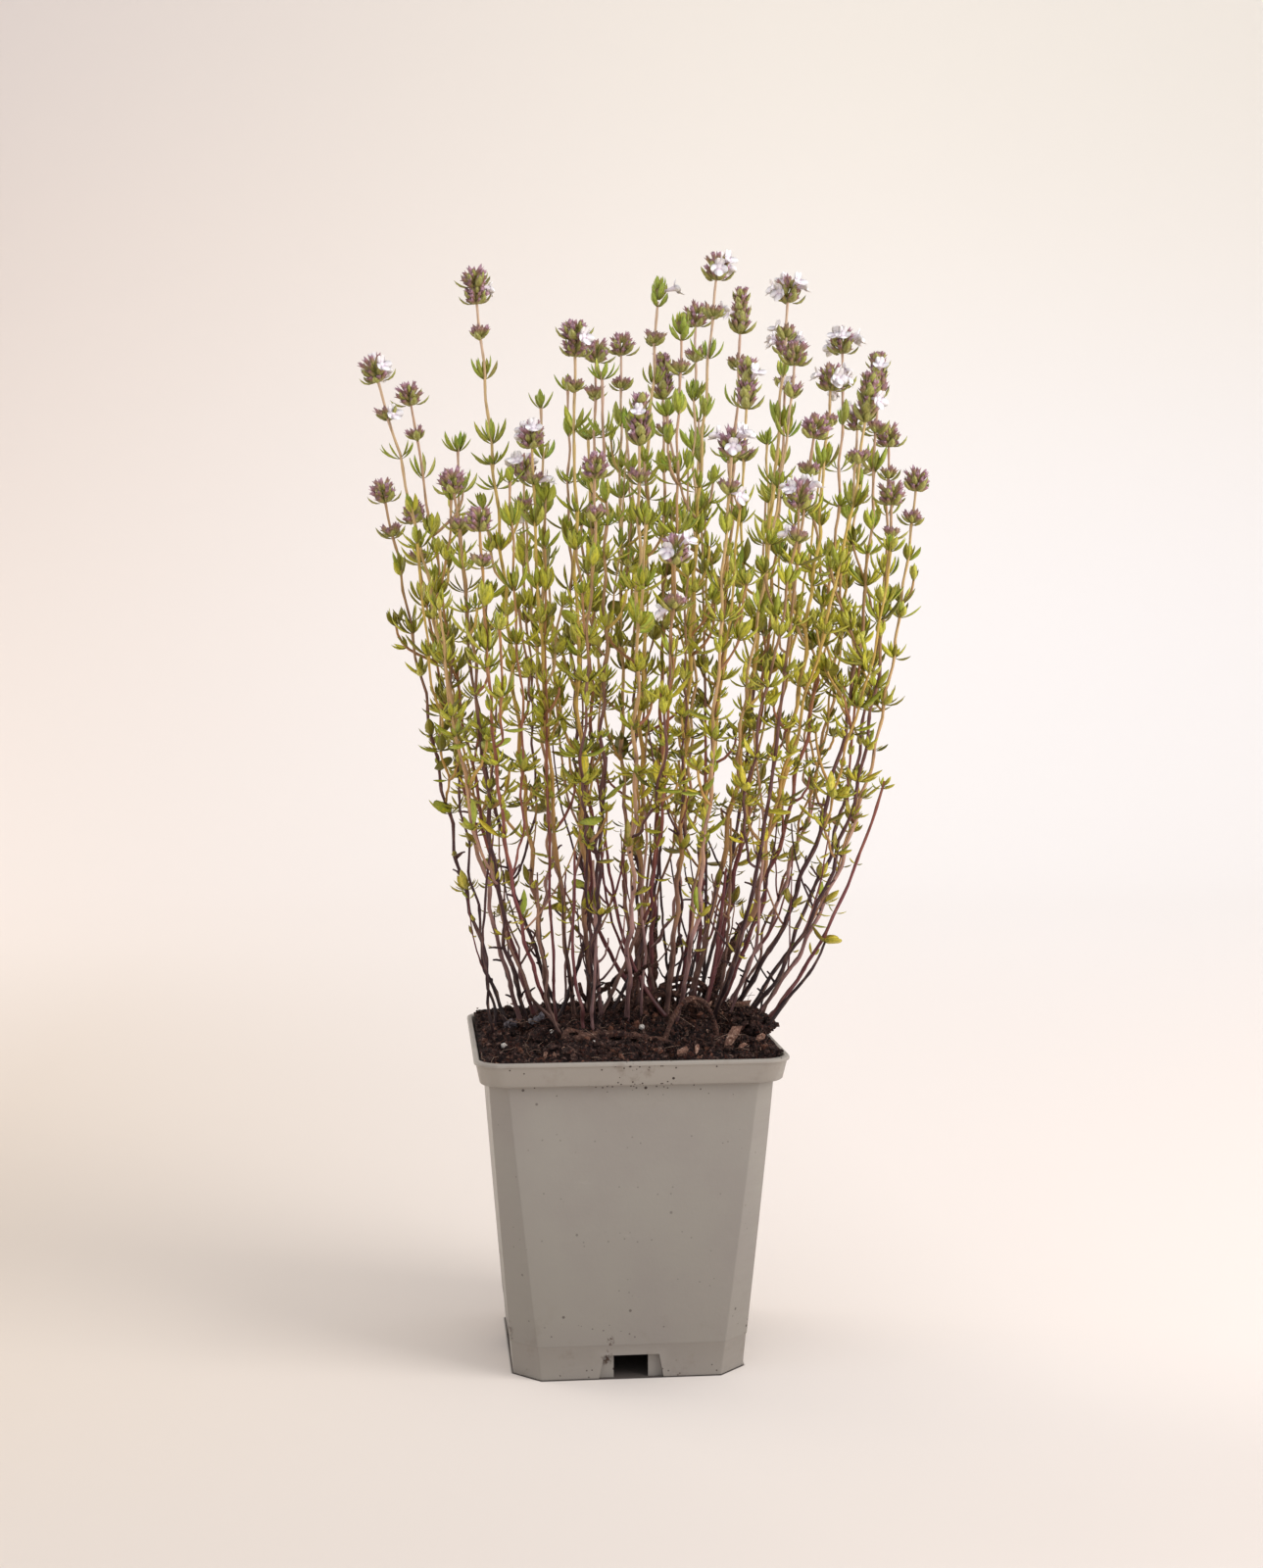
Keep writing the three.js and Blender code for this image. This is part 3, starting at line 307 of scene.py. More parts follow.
# The room: a seamless pale sheet, three soft lights as place, size, power and tone, and the camera
SHEET_BACK, SHEET_CURVE, SHEET_TOP, SHEET_HALF = 1.1, 0.7, 3.5, 3.5
# Painted light and shade: the wall is lighter to the right and darker higher up.
WALL_TONES = ((230, 218, 208), (250, 244, 239))
HIGH_WALL_TONES = ((222, 212, 205), (242, 235, 224))
# Painted shade: the floor is darker to the left, on the side where the key light's shadow falls.
FLOOR_TONES = [(0.0, (219, 205, 190)), (0.62, (229, 219, 210)), (1.0, (237, 227, 219))]
# Painted shade on the floor towards the camera, and a painted contact shadow under the pot.
NEAR_SHADE_TONE, POT_SHADOW_TONE = (214, 203, 193), (46, 36, 31)
LIGHTS = {
    "key": ((1.03, -0.7, 0.85), (0.75, 0.9), 13.0, (0.98, 0.965, 0.96)),
    "top": ((0.1, 0.2, 1.7), (1.8, 1.8), 0.6, (0.98, 0.97, 0.98)),
    "left": ((-1.35, 0.95, 0.45), (1.0, 1.0), 11.0, (1.0, 0.96, 0.9)),
}
LIGHTS_AIM = (POT_OFFSET * MM, 0, 0.14)
AMBIENT, AMBIENT_TONE = 0.915, (0.925, 0.945, 1.0, 1.0)
CAMERA_AT = (-61.2, -620.0, 204.9)
CAMERA_TURN, CAMERA_DIP = 5.96, 3.26
CAMERA_LENS, CAMERA_SENSOR = 47.87, 36.0

UP = np.array([0.0, 0.0, 1.0])
TURN = (0, 6.28)
MASK = 0xFFFFFFFF


def draws(seed):
    """A stream of numbers, each from low to high, the same for the same seed."""
    state = seed & MASK

    def draw(low=0.0, high=1.0):
        nonlocal state
        state = (state + 0x6D2B79F5) & MASK
        t = (state ^ (state >> 15)) * (1 | state) & MASK
        t = (t + ((t ^ (t >> 7)) * (61 | t) & MASK)) & MASK ^ t
        return low + (high - low) * ((t ^ (t >> 14)) / 4294967296)

    return draw


def vec(*numbers):
    return np.array(numbers, float)


def jitter(draw):
    return vec(draw() - 0.5, draw() - 0.5, draw() - 0.5)


def unit(v):
    return v / np.linalg.norm(v)


def cross(a, b):
    return np.array([a[1] * b[2] - a[2] * b[1], a[2] * b[0] - a[0] * b[2], a[0] * b[1] - a[1] * b[0]])


def level_way(turn, lift=0.0):
    """A way given by its turn seen from above."""
    return vec(math.cos(turn), math.sin(turn), lift)


def out_from(along, turn, aside=HEAD_ASIDE):
    """The way out of a stem, by the turn round it."""
    side = unit(cross(along, aside))
    return side * math.cos(turn) + cross(along, side) * math.sin(turn)


class Curve:
    """A cubic Bezier curve through space."""

    def __init__(self, *points):
        self.points = np.array(points, float)

    def at(self, t):
        t = np.asarray(t, float)[..., None]
        k = 1 - t
        a, b, c, d = self.points
        return k**3 * a + 3 * k**2 * t * b + 3 * k * t**2 * c + t**3 * d

    def along(self, t):
        low, high = max(0.0, t - 1e-4), min(1.0, t + 1e-4)
        return unit(self.at(high) - self.at(low))

    def length(self):
        return np.linalg.norm(np.diff(self.at(np.linspace(0, 1, 201)), axis=0), axis=1).sum()


def bump(hill, x, y):
    cx, cy, height, wide = hill
    return height * np.exp(-((x - cx) ** 2 + (y - cy) ** 2) / (2 * wide**2))


def soil_height(x, y):
    """The height of the soil's surface, as in the part."""
    inside = np.clip((SOIL_HALF - np.maximum(np.abs(x), np.abs(y))) / 9, 0, 1)
    crumbs = 0.55 * np.sin(0.41 * x + 1.3) * np.sin(0.37 * y + 0.4)
    clods = 0.45 * np.sin(0.83 * x - 0.6 * y)
    return SOIL_EDGE + inside * (bump(MOUND, x, y) + bump(ROOT_BALL, x, y) + crumbs + clods)


# Growing the plants: every line of this part follows the part's own rule


class Rods:
    """Lines with a radius that are already placed, kept with the plant and branch that they belong to."""

    def __init__(self):
        self.a, self.b = np.zeros((0, 3)), np.zeros((0, 3))
        self.radius = np.zeros(0)
        self.owner, self.branch = np.zeros(0, int), np.zeros(0, int)

    def place(self, rods, owner, branch=-1):
        self.a = np.vstack([self.a, [r[0] for r in rods]])
        self.b = np.vstack([self.b, [r[1] for r in rods]])
        self.radius = np.append(self.radius, [r[2] for r in rods])
        self.owner = np.append(self.owner, [owner] * len(rods))
        self.branch = np.append(self.branch, [branch] * len(rods))

    def free_gap(self, rods, own):
        """The least free gap between some rods and the placed ones, but for those in own."""
        others = ~own
        a, b, radius = self.a[others], self.b[others], self.radius[others]
        if not len(a):
            return math.inf
        least = math.inf
        v = b - a
        vv = (v * v).sum(1) + 1e-9
        for start, end, mine in rods:
            u = end - start
            w = start - a
            uu = u @ u + 1e-9
            uv, uw, vw = v @ u, w @ u, (v * w).sum(1)
            s = np.clip((uv * vw - vv * uw) / np.maximum(1e-9, uu * vv - uv * uv), 0, 1)
            t = np.clip((uv * s + vw) / vv, 0, 1)
            s = np.clip((uv * t - uw) / uu, 0, 1)
            far = np.linalg.norm(w + s[:, None] * u - t[:, None] * v, axis=1)
            least = min(least, (far - mine - radius).min())
        return least


placed = Rods()


class Branch:
    """Points along a line, the radius at each, and which of them start a whorl."""

    made = 0

    def __init__(self, curve, before, whorls, radius_at, kind):
        half = WHORL_BAND / 2 / curve.length()
        plain = [0.12] if before else []
        steps = [0, *plain, *[s for t in whorls for s in (t - half, t + half)], 1]
        self.points = np.array([*before, *[curve.at(t) for t in steps]])
        self.radii = [radius_at(0)] * len(before) + [radius_at(t) for t in steps]
        first = len(before) + 1 + len(plain)
        self.bands = [first + 2 * i for i in range(len(whorls))]
        self.curve, self.before, self.whorls = curve, before, whorls
        self.radius_at, self.kind = radius_at, kind
        Branch.made += 1
        self.number = Branch.made

    def rods(self):
        pairs = zip(self.points[:-1], self.points[1:], self.radii[:-1], self.radii[1:])
        return [(a, b, max(p, q)) for a, b, p, q in pairs]


def tapered(base, tip):
    return lambda t: base * (1 - t) + tip * t


def add_bent_clear(owner, branches, make, least=-math.inf):
    """Tries some bends of a branch and keeps the first that is clear, or else the one with the most room."""
    best, best_gap = None, -math.inf
    own = placed.owner == owner
    for _ in range(TRIES):
        branch = make()
        gap = placed.free_gap(branch.rods(), own)
        if best is None or gap > best_gap:
            best, best_gap = branch, gap
        if gap > CLEARANCE:
            break
    if best_gap > least:
        placed.place(best.rods(), owner, best.number)
        branches.append(best)


def spread(count, low, high, draw):
    gap = (high - low) / max(1, count - 1)
    loose = [0 if i in (0, count - 1) else 0.22 for i in range(count)]
    return [low + gap * (i + draw(-loose[i], loose[i])) for i in range(count)]


def head_size(kind):
    wide, tall = HEAD_SHAPES[kind]
    return wide * HEAD_WIDTH, tall * HEAD_HEIGHT


def top_share(kind, reach):
    if kind == "leafy":
        return 1 - 2 / reach
    return 1 - (SECOND_WHORL + head_size(kind)[1]) / reach


def grow_stem(root, thick, lean, tips, draw):
    tip, kind = vec(*tips[0][:3]), tips[0][3]
    leaving = vec(*root, soil_height(*root))
    rise = tip - leaving
    early = lean + draw(-0.1, 0.1)
    late = min(0.97, early + draw(0.1, 0.3))
    sway = vec(draw(-4, 4), draw(-4, 4), 0)
    first = rise * [early, early, 0.28]
    last = rise * [late, late, 0.64]
    aim = unit(first)
    out = leaving + aim * FREE_OF_SOIL
    curve = Curve(out, leaving + first, leaving + last + sway, tip)
    low = (draw(*FIRST_LEAVES) - out[2]) / (tip[2] - out[2])
    whorls = spread(STEM_WHORLS, low, top_share(kind, curve.length()), draw)
    radius_at = tapered(STEM_BASE_RADIUS * thick, STEM_TIP_RADIUS)
    return Branch(curve, [leaving - aim * BURIED], whorls, radius_at, kind)


def grow_shoot(parent, share, tip, kind, count, draw):
    point = parent.curve.at(share)
    along = parent.curve.along(share)
    reach = np.linalg.norm(tip - point)
    away = tip - point
    away = unit(away - along * (away @ along))
    first = point + unit(along * 0.5 + away) * draw(0.12, 0.22) * reach
    rising = unit(tip - point)
    rising = unit(rising + (UP - rising) * draw(0.3, 0.8))
    last = tip - rising * draw(0.3, 0.5) * reach
    curve = Curve(point, first, last, tip)
    whorls = spread(count, 0.34 if count > 2 else 0.52, top_share(kind, curve.length()), draw)
    base = min(parent.radius_at(share) * 0.68, STEM_TIP_RADIUS * 1.2)
    return Branch(curve, [], whorls, tapered(base, STEM_TIP_RADIUS * 0.95), kind)


def grow_twig(parent, share, draw):
    turn = draw(0, 2 * math.pi)
    reach = draw(*TWIG_LENGTH)
    out = reach * draw(0.25, 0.5)
    base = parent.curve.at(share)
    aside = math.cos(turn)
    if abs(base[0]) > OUTER:
        aside = -abs(aside) * math.copysign(1, base[0])
    tip = vec(aside * out, math.sin(turn) * out, reach) + base
    return grow_shoot(parent, share, tip, "leafy", TWIG_WHORLS, draw)


def grow_plants():
    """The lines of every stem, then of the shoots, then of the twigs, with each plant's own draws."""
    for owner, (_, _, _, tips) in enumerate(PLANTS):
        for x, y, z, kind, _ in tips:
            if kind != "leafy":
                wide, tall = head_size(kind)
                middle, spare = vec(x, y, z), max(0.3, tall - wide)
                placed.place([(middle - UP * spare, middle + UP * spare, wide)], owner)
    plants = [(draws(SEED * 1000 + owner), []) for owner in range(len(PLANTS))]
    for owner, (draw, branches) in enumerate(plants):
        add_bent_clear(owner, branches, lambda: grow_stem(*PLANTS[owner], draw))
    for owner, (draw, branches) in enumerate(plants):
        for *tip, kind, share in PLANTS[owner][3][1:]:
            make = lambda: grow_shoot(branches[0], share, vec(*tip), kind, SHOOT_WHORLS, draw)
            add_bent_clear(owner, branches, make)
    for owner, (draw, branches) in enumerate(plants):
        for low in [0.55] if len(branches) > 1 else [0.42, 0.6]:
            share = draw(low, low + 0.14)
            add_bent_clear(owner, branches, lambda: grow_twig(branches[0], share, draw), CLEARANCE / 2)
    return plants


def rings_along(points, radii, sides, squareness=0.0):
    """Rings of corners round a line, which turn with it as little as they can."""
    side = vec(1, 0, 0)
    angles = (np.arange(sides) + 0.5) / sides * 2 * math.pi
    shape = 1 + squareness * np.cos(4 * (angles - math.pi / 4))
    rings = []
    for i, point in enumerate(points):
        along = unit(points[min(len(points) - 1, i + 1)] - points[max(0, i - 1)])
        side = unit(side - along * (side @ along))
        ring = np.outer(np.cos(angles) * shape, side) + np.outer(np.sin(angles) * shape, cross(along, side))
        rings.append(point + radii[i] * ring)
    return rings


def blade_ways(along, out, open_by, yaw, side=None):
    """The ways that a blade points, spreads and faces, when it leaves a stem by an angle."""
    side = cross(along, out) if side is None else side
    facing = out * math.cos(yaw) + side * math.sin(yaw)
    across = side * math.cos(yaw) - out * math.sin(yaw)
    forward = along * math.cos(open_by) + facing * math.sin(open_by)
    above = along * math.sin(open_by) - facing * math.cos(open_by)
    return forward, across, above


Leaf = namedtuple("Leaf", "root ways length kind")


def leaf_on_face(face, along, size, grow, open_by, yaw, kind):
    middle = sum(face) / 4
    side = unit(face[1] - face[0])
    forward, across, above = blade_ways(along, unit(cross(side, along)), open_by, yaw, side)
    length = size["length"] * grow
    tip = middle + forward * length
    rods = [(middle + (tip - middle) * 0.12, tip, 0.5)]
    if size["width"]:
        belly = middle + forward * length * 0.5 + above * size["thick"] * 0.6
        rods.append((belly - across * size["width"] / 2, belly + across * size["width"] / 2, 0.4))
    return Leaf(middle, (forward, across, above), length, kind), rods


def whorl_plan(i, count, kind):
    turn = i % 2
    if i < count - 1:
        large, small = (LEAF, "leaf"), (TUFT_LEAF, "tuft")
    elif kind == "leafy":
        large = small = (TOP_LEAF, "leaf")
    else:
        large = small = (CALYX, "calyx")
    return [large if k % 2 == turn else small for k in range(4)]


def grow_leaves(owner, branch, points, draw):
    """The leaves of a branch, one out of each face of its whorls that has room for it."""
    rings = rings_along(points, branch.radii, 4)
    leaves = []
    for number, i in enumerate(branch.bands):
        plan = whorl_plan(number, len(branch.bands), branch.kind)
        along = unit(points[i + 1] - points[i])
        for k, (size, kind) in enumerate(plan):
            following = (k + 1) % 4
            face = [rings[i][k], rings[i][following], rings[i + 1][following], rings[i + 1][k]]
            for attempt in range(LEAF_TRIES):
                grow = draw(0.85, 1.15) * (1 - 0.07 * attempt)
                open_by, yaw = draw(*size["open"]), draw(-0.35, 0.35)
                made, rods = leaf_on_face(face, along, size, grow, open_by, yaw, kind)
                if placed.free_gap(rods, placed.branch == branch.number) < GAP:
                    continue
                placed.place(rods, owner, branch.number)
                leaves.append(made)
                break
    return leaves


def place_flowers(owner, middle, along, wide, draw):
    """Where the open flowers round a head stand: the way that each one faces."""
    start = draw(0, 2 * math.pi)
    faces = []
    for i in range(FLOWERS_ON_HEAD):
        for _ in range(LEAF_TRIES):
            turn = start + i * 2 * math.pi / FLOWERS_ON_HEAD + draw(-0.5, 0.5)
            out = unit(level_way(turn, draw(0, 0.6)))
            root = middle + out * wide * 0.35
            tips = [root + out * PETAL_LENGTH + along * lift * PETAL_LENGTH for lift in (0.75, -0.35)]
            rods = [(root + (tip - root) * 0.4, tip, PETAL_WIDTH / 2) for tip in tips]
            if placed.free_gap(rods, placed.owner == owner) < GAP:
                continue
            placed.place(rods, owner)
            faces.append(out)
            break
    return faces


# Meshes


def add_piece(name, data):
    piece = bpy.data.objects.new(name, data)
    bpy.context.scene.collection.objects.link(piece)
    return piece


def part_of_plant(piece, slot, *nodes):
    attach(piece, "root")
    if nodes:
        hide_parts(*nodes)


class Skin:
    """Gathers corners and faces with their places on the map, and makes them into one mesh."""

    def __init__(self):
        self.corners, self.faces, self.count = [], {3: [], 4: []}, 0

    def add(self, corners, faces, places=None, slot=0):
        """Faces index the corners given, and places has one point of the map for each corner of each face."""
        places = np.zeros((*faces.shape, 2)) if places is None else places
        self.faces[faces.shape[1]].append((faces + self.count, places, np.full(len(faces), slot)))
        if corners is not None:
            self.corners.append(corners)

    def close(self):
        """Moves on past the corners added since the last call."""
        self.count = sum(len(c) for c in self.corners)

    def make(self, name, materials, smooth=True, mapped=True):
        points = np.concatenate(self.corners) * MM + vec(POT_OFFSET * MM, 0, 0)
        groups = [[np.concatenate(some) for some in zip(*self.faces[n])] for n in (3, 4) if self.faces[n]]
        totals = np.concatenate([np.full(len(faces), faces.shape[1]) for faces, _, _ in groups])
        loops = np.concatenate([faces.ravel() for faces, _, _ in groups])
        starts = np.concatenate([[0], np.cumsum(totals)[:-1]])
        slots = np.concatenate([slots for _, _, slots in groups])
        mesh = bpy.data.meshes.new(name)
        mesh.vertices.add(len(points))
        mesh.vertices.foreach_set("co", points.astype(np.float32).ravel())
        mesh.loops.add(len(loops))
        mesh.loops.foreach_set("vertex_index", loops.astype(np.int32))
        mesh.polygons.add(len(totals))
        for key, values in (("loop_start", starts), ("loop_total", totals), ("material_index", slots)):
            mesh.polygons.foreach_set(key, values.astype(np.int32))
        mesh.polygons.foreach_set("use_smooth", np.full(len(totals), smooth))
        mesh.update(calc_edges=True)
        if mapped:
            places = np.concatenate([places.ravel() for _, places, _ in groups])
            mesh.uv_layers.new(name=MAP_NAME).uv.foreach_set("vector", places.astype(np.float32))
        for material in materials:
            mesh.materials.append(material)
        mesh.validate()
        return add_piece(name, mesh)


def ring_faces(rings, sides):
    """The quads between rings of a tube, as indices, and the steps along and round that each corner has."""
    i, k = np.meshgrid(np.arange(rings - 1), np.arange(sides), indexing="ij")
    i, k = i.ravel(), k.ravel()
    following = (k + 1) % sides
    faces = [i * sides + k, i * sides + following, (i + 1) * sides + following, (i + 1) * sides + k]
    return np.stack(faces, 1), np.stack([i, i, i + 1, i + 1], 1), np.stack([k, k + 1, k + 1, k], 1)


def plain_place(turn, step):
    return turn, step


def tube(skin, points, radii, sides, place=plain_place, slot=0, squareness=0.0):
    """A closed tube along points. place gives the map's (u, v) from the share round and the step along."""
    points = np.asarray(points, float)
    rings = rings_along(points, np.asarray(radii, float), sides, squareness)
    faces, step, turn = ring_faces(len(points), sides)
    skin.add(np.concatenate(rings), faces, np.stack(place(turn / sides, step), -1), slot)
    last = len(points) * sides
    k = np.arange(sides)
    low = np.stack([np.full(sides, last), (k + 1) % sides, k], 1)
    high = np.stack([np.full(sides, last + 1), k + last - sides, (k + 1) % sides + last - sides], 1)
    for fan, step_at in ((low, 0), (high, len(points) - 1)):
        places = place(np.tile([0.5, 0.4, 0.6], (sides, 1)), np.full((sides, 3), step_at))
        skin.add(None, fan, np.stack(places, -1), slot)
    skin.corners.append(np.array([points[0], points[-1]]))
    skin.close()


class Leaves:
    """Blades to be skinned together. Each is a folded lens with a midrib, on its own cell of the map."""

    def __init__(self, columns=COLUMNS, row_count=ROWS, hues=(2, 5)):
        self.columns, self.row_count, self.hues, self.rows = columns, row_count, hues, []

    def add(self, root, ways, *numbers):
        """The numbers are the length, width, bend, fold, broadness, column, under face's column and row."""
        self.rows.append(np.hstack([root, *ways, numbers]))

    def skin(self, skin, blade=BLADE):
        if not self.rows:
            return
        stations, narrow, wide = blade
        data = np.array(self.rows)
        root, forward, across, above = (data[:, None, i : i + 3] for i in (0, 3, 6, 9))
        length, width, bend, fold, broad, column, under, row = (data[:, i, None] for i in range(12, 20))
        s = np.repeat(stations[:-1], 4)
        side = np.tile([1.0, 0.0, -1.0, 0.0], len(stations) - 1)
        below = np.tile([0.0, 0.0, 0.0, -1.0], len(stations) - 1)
        shape = (1 - broad) * np.repeat(narrow[:-1], 4) + broad * np.repeat(wide[:-1], 4)
        body = 0.045 * length * np.sqrt(shape) * below
        lift = -bend * length * 4 * s * (1 - s) + fold * np.abs(side) * shape * width / 2 + body
        spread_by = side * shape * width / 2
        corners = root + forward * (s * length)[..., None] + across * spread_by[..., None]
        corners = corners + above * lift[..., None]
        tip = root[:, 0] + forward[:, 0] * length
        corners = np.concatenate([corners, tip[:, None]], 1)
        last = len(s)
        offset = (np.arange(len(data)) * (last + 1))[:, None, None]
        column, under, row = (x[:, :, None] for x in (column, under, row))

        def add_faces(faces, turns, shares, points=None):
            """Sides 0 and 1 of the section are the upper face, and sides 2 and 3 the under face."""
            lower = (turns.min(1, keepdims=True) >= 2)[None]
            local_u = np.where(lower, 1 - (turns - 2) / 2, turns / 2)
            u = (np.where(lower, under, column) + 0.06 + 0.88 * local_u) / self.columns
            v = (row + 0.04 + 0.92 * shares) / self.row_count
            sides = faces.shape[1]
            places = np.stack(np.broadcast_arrays(u, v), -1).reshape(-1, sides, 2)
            skin.add(points, (faces[None] + offset).reshape(-1, sides), places, 1)

        faces, step, turn = ring_faces(len(stations) - 1, 4)
        add_faces(faces, turn, stations[step], corners.reshape(-1, 3))
        tips = np.array([[last - 4 + k, last - 4 + (k + 1) % 4, last] for k in range(4)])
        turns = np.array([[k, k + 1, k + 0.5] for k in range(4)])
        add_faces(tips, turns, np.tile([stations[-2], stations[-2], 1.0], (4, 1)))
        add_faces(np.array([[3, 2, 1, 0]]), np.array([[3, 2.5, 2.2, 2]]), np.array([[0.02, 0.0, 0.0, 0.02]]))
        skin.close()


# Materials


def srgb(*tone):
    """A colour given as it looks on a screen, from 0 to 255."""
    shares = [c / 255 for c in tone]
    return (*[c / 12.92 if c <= 0.04045 else ((c + 0.055) / 1.055) ** 2.4 for c in shares], 1.0)


class Wire:
    """What a node puts out. Sums with it add further nodes."""

    def __init__(self, graph, socket):
        self.graph, self.socket = graph, socket

    def __add__(self, other):
        return self.graph.maths("ADD", self, other)

    def __sub__(self, other):
        return self.graph.maths("SUBTRACT", self, other)

    def __mul__(self, other):
        return self.graph.maths("MULTIPLY", self, other)

    def __truediv__(self, other):
        return self.graph.maths("DIVIDE", self, other)


class Graph:
    """A material under construction, with short ways to add its nodes. A tuple stands for a colour."""

    def __init__(self, name, roughness, specular=0.5):
        self.material = bpy.data.materials.new(name)
        self.material.use_nodes = True
        self.tree = self.material.node_tree
        self.shader = self.tree.nodes["Principled BSDF"]
        self.shader.inputs["Roughness"].default_value = roughness
        self.shader.inputs["Specular IOR Level"].default_value = specular

    def feed(self, socket, value):
        if isinstance(value, Wire):
            self.tree.links.new(value.socket, socket)
        else:
            socket.default_value = srgb(*value) if isinstance(value, tuple) else value

    def node(self, kind, inputs, output=0, **settings):
        made = self.tree.nodes.new("ShaderNode" + kind)
        for key, value in settings.items():
            setattr(made, key, value)
        for socket, value in inputs.items():
            self.feed(made.inputs[socket], value)
        return Wire(self, made.outputs[output])

    def maths(self, operation, a, b=0.0):
        return self.node("Math", {0: a, 1: b}, operation=operation)

    def ranged(self, value, low, high, to_low=0.0, to_high=1.0):
        inputs = dict(enumerate((value, low, high, to_low, to_high)))
        return self.node("MapRange", inputs, interpolation_type="SMOOTHSTEP")

    def mix(self, share, a, b):
        return self.node("Mix", {0: share, 6: a, 7: b}, 2, data_type="RGBA", clamp_factor=True)

    def layers(self, tone, layers):
        """Lays further tones over the first one, each by its share."""
        for share, other in layers:
            tone = self.mix(share, tone, other)
        return tone

    def ramp(self, value, stops):
        made = self.node("ValToRGB", {0: value})
        elements = made.socket.node.color_ramp.elements
        while len(elements) < len(stops):
            elements.new(0.5)
        for element, (position, tone) in zip(elements, stops):
            element.position = position
            element.color = srgb(*tone)
        return made

    def vector(self, x, y, z=0.0):
        return self.node("CombineXYZ", {0: x, 1: y, 2: z})

    def noise(self, vector, scale, detail=3.0, rough=0.55):
        inputs = {"Vector": vector, "Scale": scale, "Detail": detail, "Roughness": rough}
        return self.node("TexNoise", inputs, "Fac")

    def spots(self, vector, scale):
        """How far the nearest of some scattered points is, and three chances that go with that point."""
        gap = self.node("TexVoronoi", {"Vector": vector, "Scale": scale, "Randomness": 1.0}, "Distance")
        return gap, self.split(Wire(self, gap.socket.node.outputs["Color"]))

    def chance(self, vector):
        return self.node("TexWhiteNoise", {"Vector": vector}, "Value", noise_dimensions="3D")

    def place(self):
        """The point in the part's own frame, in metres."""
        return self.node("TexCoord", {}, "Object")

    def split(self, vector):
        made = self.node("SeparateXYZ", {0: vector})
        return [Wire(self, socket) for socket in made.socket.node.outputs]

    def map(self):
        u, v, _ = self.split(self.node("UVMap", {}, uv_map=MAP_NAME))
        return u, v

    def bump(self, height, distance, strength):
        normal = self.node("Bump", {"Strength": strength, "Distance": distance, "Height": height})
        self.feed(self.shader.inputs["Normal"], normal)

    def finish(self, tone, roughness=None):
        self.feed(self.shader.inputs["Base Color"], tone)
        if roughness is not None:
            self.feed(self.shader.inputs["Roughness"], roughness)
        return self.material


def leaf_material():
    """Blades coloured by the height of their cell, with midrib, margin and a paler under face."""
    g = Graph("thyme_leaf", 0.5, 0.35)
    u, v = g.map()
    across, up = u * COLUMNS, v * ROWS
    column, row = g.maths("FLOOR", across), g.maths("FLOOR", up)
    side = g.maths("ABSOLUTE", g.maths("FRACT", across) - 0.5)
    share = g.maths("FRACT", up)
    yellowing, shading = g.chance(g.vector(column, row)), g.chance(g.vector(column, row, 7.0))
    rib = g.ranged(side, 0.075, 0.01)
    flecks = g.noise(g.vector(across, up), 7.0, 4.0)
    layers = [
        (g.ranged(yellowing, 0.45, 1.0, 0.0, 0.5), (216, 208, 112)),
        (g.ranged(yellowing, 0.5, 0.0, 0.0, 0.6), (104, 128, 36)),
        (g.ranged(shading, 0.6, 1.0, 0.0, 0.55), (92, 90, 30)),
        (g.maths("GREATER_THAN", column, UNDER_COLUMNS[0] - 0.5) * 0.35, (174, 180, 78)),
        (g.maths("COMPARE", column, BRACT_COLUMN) * 0.65, (172, 160, 100)),
        (g.maths("COMPARE", column, OLD_COLUMN) * 0.85, (176, 152, 74)),
        (rib * 0.55, (200, 200, 104)),
        (g.ranged(side, 0.36, 0.5, 0.0, 0.4), (186, 180, 80)),
        # Painted shade: each blade turns dark brown towards its base, as in the shaded heart of a cluster.
        (g.ranged(share, 0.36, 0.02, 0.0, 0.6), (118, 96, 40)),
        (g.ranged(share, 0.86, 1.0, 0.0, 0.35), (150, 128, 66)),
        (g.ranged(flecks, 0.4, 0.72, 0.0, 0.5), (84, 96, 28)),
    ]
    layers += [(g.maths("COMPARE", column, number) * lean, tone) for number, lean, tone in HUES]
    tone = g.layers(g.ramp((row + 0.5) / ROWS, LEAF_BY_HEIGHT), layers)
    g.bump(rib * -0.6 + flecks, 0.00025, 0.6)
    return g.finish(tone, g.ranged(flecks, 0.3, 0.7, 0.42, 0.6))


def bark_material():
    """Bark coloured by height, in one tone family for each quarter of the strip, with streaks along it."""
    g = Graph("bark", 0.6, 0.3)
    u, v = g.map()
    family = g.maths("FLOOR", u / FAMILY_WIDTH)
    streaks = g.noise(g.vector(u * 60.0, v * 34.0), 1.6, 5.0)
    patches = g.noise(g.vector(u * 9.0, v * 30.0, 4.0), 1.0, 2.0)
    shifted = v + (patches - 0.5) * 0.22
    ramps = [g.ramp(shifted, list(zip(*stops))) for stops in zip(BARK_LEVELS, BARK_TONES)]
    layers = [(g.maths("COMPARE", family, number), ramps[number]) for number in (RED, TAN, PINK)]
    layers.append((g.ranged(streaks, 0.5, 0.3, 0.0, 0.6), (56, 38, 36)))
    layers.append((g.ranged(streaks, 0.52, 0.78, 0.0, 0.5), (196, 152, 128)))
    g.bump(streaks, 0.0004, 0.8)
    return g.finish(g.layers(ramps[DARK], layers), g.ranged(streaks, 0.3, 0.7, 0.45, 0.7))


